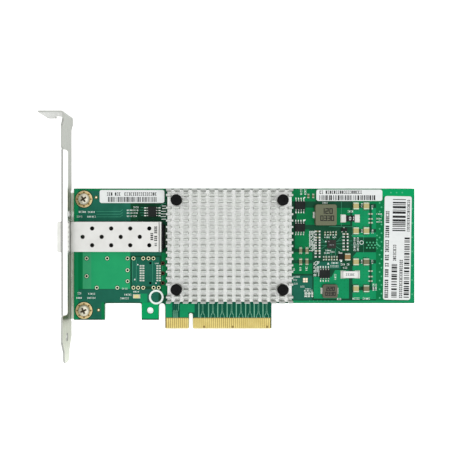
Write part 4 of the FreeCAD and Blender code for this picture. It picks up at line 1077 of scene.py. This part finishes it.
flat_piece("solder_side_copper", contact_bands + boxes(lacquer_mid, [
    (-44.0, 14.0, -14.4, 36.8), (-44.0, 54.0, -14.4, 67.8), (-12.8, 14.0, 6.0, 67.8),
    (32.0, 14.0, 47.6, 67.8), (49.2, 41.6, 76.6, 67.8), (78.2, 14.2, 107.6, 33.0), (78.2, 52.2, 107.6, 67.8),
]) + boxes(lacquer_bright, [
    (-44.0, 39.8, -14.4, 51.0), (9.4, 31.6, 28.6, 50.4), (49.2, 14.2, 76.6, 40.0), (78.2, 34.6, 107.6, 50.6),
]), COPPER_HEIGHT, -1)


def solder_side_tracks():
    """Lanes from the edge contacts to the controller, and pairs from the controller to the module cage."""
    routes = []
    for shift in (-0.22, 0.22):
        for index in range(16):
            x = 2.6 + 2.2 * index + shift
            inner = 11.0 + 1.02 * index + shift
            routes.append([(x, 5.6), (x, 12.6), (inner, 22.0), (inner, 31.4)])
        for y in (42.0 + shift, 43.4 + shift, 46.6 + shift, 48.0 + shift):
            routes += [[(9.2, y), (6.6, y)], [(-13.0, y), (-14.2, y)]]
    return [quad for route in routes for quad in ribbon(route, 0.16)]


def ball_vias():
    """Vias below the controller, one by each ball of its package."""
    chooser = random.Random(23)
    return [(11.0 + x, 33.0 + y) for x in range(17) for y in range(17) if chooser.random() < 0.88]


flat_piece("solder_side_tracks", coated(lacquer_trace, solder_side_tracks()), TRACE_HEIGHT, -1)
laid("ball_vias", [disc(0, 0, 0.24, 8)], ball_vias(), lacquer_bare, 0, -1)
laid("under_stitching_vias", [disc(0, 0, 0.32, 10)], stitching, lacquer_pale, 0, -1)
laid("under_via_rings", ring(0, 0, 0.5, 0.86, 12), through_vias, via_gold, 0, -1)
# painted shade: black discs over the holes on this side
laid("under_via_holes", [disc(0, 0, 0.56, 14)], through_vias, hole_dark, ABOVE, -1)
laid("under_locating_holes", [disc(0, 0, 0.62)], locating_holes, hole_dark, 0, -1)

# solder that wets each cage leg, a low cone round it
joint = bmesh.new()
loft(joint, [[(reach_x * x, reach_y * y, -drop) for x, y in disc(0, 0, 1)]
             for reach_x, reach_y, drop in ((1.0, 0.72, 0.0), (0.75, 0.45, 0.18), (0.44, 0.17, 0.62))])
cage_legs = [(x, y, BOARD_UNDER, 0) for x in (-50.0, -33.5, -17.0) for y in (38.325, 52.375)]
repeated("cage_leg_joints", finish_mesh("cage_leg_joint", joint, 50), cage_legs, solder)


# ---------------------------------------------------------------- screws, push pins and springs

def pan_head_screw():
    """Low pan head with a cross recess, threaded shank below it; the head sits on the board."""
    profile = [(1.25, -3.4), (1.45, -3.2)]
    thread_pitch, core, crest = 0.35, 1.22, 1.46
    for turn in range(9):
        height = -3.1 + thread_pitch * turn
        profile += [(core, height), (crest, height + thread_pitch / 2)]
    profile += [(1.45, 0.04), (2.62, 0.04), (2.75, 0.2), (2.75, 0.75), (2.62, 1.25), (2.25, 1.66), (1.6, 1.9),
                (0.8, 1.99), (0.3, 2.0)]
    recess = bmesh.new()
    for (tip_x, tip_y), (half_x, half_y) in (((0.3, 0.9), (0.5, 1.85)), ((0.9, 0.3), (1.85, 0.5))):
        loft(recess, [[(x, y, height) for x, y in rectangle(-a, -b, a, b)]
                      for a, b, height in ((tip_x, tip_y, 0.35), (half_x, half_y, 2.2))])
    return carved("pan_head_screw", turned(profile, 40), recess)


def split_push_pin():
    """Nylon push pin: dished round head, flat shank split into two barbed prongs below the board."""
    mesh = turned([(1.3, 12.0), (2.55, 12.0), (2.7, 12.12), (2.7, 12.9), (2.6, 13.25), (2.3, 13.5),
                   (1.7, 13.66), (1.0, 13.7), (0.8, 13.66), (0.7, 13.5), (0.2, 13.45)], 36)
    half, half_thick, slit, barb, tip, under, bottom = 1.25, 0.9, 0.4, 2.05, 0.95, -1.57, -4.77
    add_box(mesh, (-half, -half_thick, 1.2), (half, half_thick, 12.1), 0.12)
    prong = [(slit, 1.3), (half, 1.3), (half, under), (barb, under - 0.05), (barb, under - 0.45),
             (tip + 0.15, bottom + 0.25), (tip - 0.1, bottom), (slit, bottom)]
    for side in (-1, 1):
        loft(mesh, [[(side * x, y, z) for x, z in prong] for y in (-half_thick, half_thick)])
    return finish_mesh("push_pin", mesh, 40)


def coil(name, radius, wire_radius, bottom, top, turns, flat_turns=0.75, steps=22, sides=8):
    """Compression spring about Z, its end turns closed."""
    rows = []
    for step in range(int(turns * steps) + 1):
        turn = step / steps
        rise = min(max((turn - flat_turns) / (turns - 2 * flat_turns), 0), 1)
        z = bottom + wire_radius + (top - bottom - 2 * wire_radius) * rise
        angle = 2 * math.pi * turn
        rows.append([((radius + out) * math.cos(angle), (radius + out) * math.sin(angle), z + up)
                     for out, up in disc(0, 0, wire_radius, sides)])
    mesh = bmesh.new()
    loft(mesh, rows)
    return finish_mesh(name, mesh, 60)


screw_places = [(x, y, 0, turn) for (x, y), turn in zip(screw_centres, (24, 33))]
repeated("pan_head_screws", pan_head_screw(), screw_places, screw_metal, ("bracket_screws",))
# painted shade: flat dark crosses laid inside the screw recesses
for name, half_x, half_y, height in (("screw_recess_floors", 1.66, 0.4, 1.62),
                                     ("screw_recess_cross_floors", 0.4, 1.66, 1.61)):
    arms = [turned_about(rectangle(x - half_x, y - half_y, x + half_x, y + half_y), x, y, turn)
            for x, y, _, turn in screw_places]
    flat_piece(name, coated(recess_painted_shade, arms), height)
pin_places = [(x, y, 0, 0) for x in (-6.3, 44.2) for y in (20.35, 62.85)]
repeated("split_push_pins", split_push_pin(), pin_places, nylon, ("push_pins",))
repeated("coil_springs", coil("coil_spring", 2.225, 0.225, 5.1, 11.94, 5.5), pin_places, wire,
         ("push_pin_springs",))


# ---------------------------------------------------------------- floor, light and camera, in metres

FLOOR_GLOW = (0.5, 1.0)  # how bright the floor looks near the card and far from it
FLOOR_LIGHT = 0.12  # what the floor really gives off
SOFT_WORLD, SEEN_WORLD = 0.32, 1.0  # what the surroundings give off, and how bright they look


def seen_ray(tree):
    """1 for camera, glossy and transmission rays, 0 for the rays that light the card."""
    rays = add_node(tree, "ShaderNodeLightPath")
    first = add_node(tree, "ShaderNodeMath", {
        0: rays.outputs["Is Camera Ray"], 1: rays.outputs["Is Glossy Ray"]}, operation="MAXIMUM")
    return add_node(tree, "ShaderNodeMath", {0: first.outputs[0], 1: rays.outputs["Is Transmission Ray"]},
                    operation="MAXIMUM").outputs[0]


def pale_floor():
    """Plain floor just under the card: it keeps the card's shadow and turns to plain white further out."""
    clearance, half_side = 0.0002, 2
    shadow_reach, white_reach = 0.18, 0.4
    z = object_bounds()[0].z - clearance
    sheet = bpy.data.meshes.new("floor")
    sheet.from_pydata([(x, y, z) for x, y in rectangle(-half_side, -half_side, half_side, half_side)], [],
                      [(0, 1, 2, 3)])
    floor = new_object("floor", sheet)
    white, tree, shader = surface("floor_white", "FFFFFF", Roughness=0.9, Specular_IOR_Level=0.0)
    shader.inputs["Emission Color"].default_value = (1, 1, 1, 1)
    place = add_node(tree, "ShaderNodeTexCoord")
    reach = add_node(tree, "ShaderNodeVectorMath", {0: place.outputs["Object"]}, operation="LENGTH")
    glow = add_node(tree, "ShaderNodeMapRange", {
        "Value": reach.outputs["Value"], "From Min": shadow_reach, "From Max": white_reach,
        "To Min": FLOOR_GLOW[0], "To Max": FLOOR_GLOW[1]})
    seen = add_node(tree, "ShaderNodeMath", {0: seen_ray(tree), 1: glow.outputs["Result"]},
                    operation="MULTIPLY")
    strength = add_node(tree, "ShaderNodeMath", {0: seen.outputs[0], 1: FLOOR_LIGHT}, operation="MAXIMUM")
    tree.links.new(strength.outputs[0], shader.inputs["Emission Strength"])
    sheet.materials.append(white)


def lights():
    world = bpy.data.worlds.new("studio")
    scene.world = world
    world.use_nodes = True
    tree = world.node_tree
    tree.nodes.clear()
    soft = add_node(tree, "ShaderNodeBackground", {"Color": (1, 1, 1, 1), "Strength": SOFT_WORLD})
    bright = add_node(tree, "ShaderNodeBackground", {"Color": (1, 1, 1, 1), "Strength": SEEN_WORLD})
    both = add_node(tree, "ShaderNodeMixShader", {
        0: seen_ray(tree), 1: soft.outputs[0], 2: bright.outputs[0]})
    add_node(tree, "ShaderNodeOutputWorld", {"Surface": both.outputs[0]})
    aim = Vector((0.02, 0.045, 0))
    for name, size, power, place, in_metal in (
        ("overhead_lamp", 0.55, 4.2, (0.085, -0.035, 0.90), False),
        ("softbox", 2.0, 4.4, (0.06, -0.08, 0.90), True),
    ):
        lamp = bpy.data.lights.new(name, "AREA")
        lamp.shape = "DISK"
        lamp.size = size
        lamp.energy = power
        lit = new_object(name, lamp)
        lit.location = place
        lit.rotation_euler = (aim - Vector(place)).to_track_quat("-Z", "Y").to_euler()
        lit.visible_glossy = in_metal


def camera():
    """Looks straight down on the component face from 330 mm."""
    made = bpy.data.cameras.new("camera")
    made.sensor_width = 36.0
    made.lens = 53.76
    made.clip_start = 0.01
    made.clip_end = 20.0
    scene.camera = new_object("camera", made)
    scene.camera.location = (0.016754, 0.051, 0.330)


pale_floor()
lights()
camera()
scene.view_settings.view_transform = "Standard"
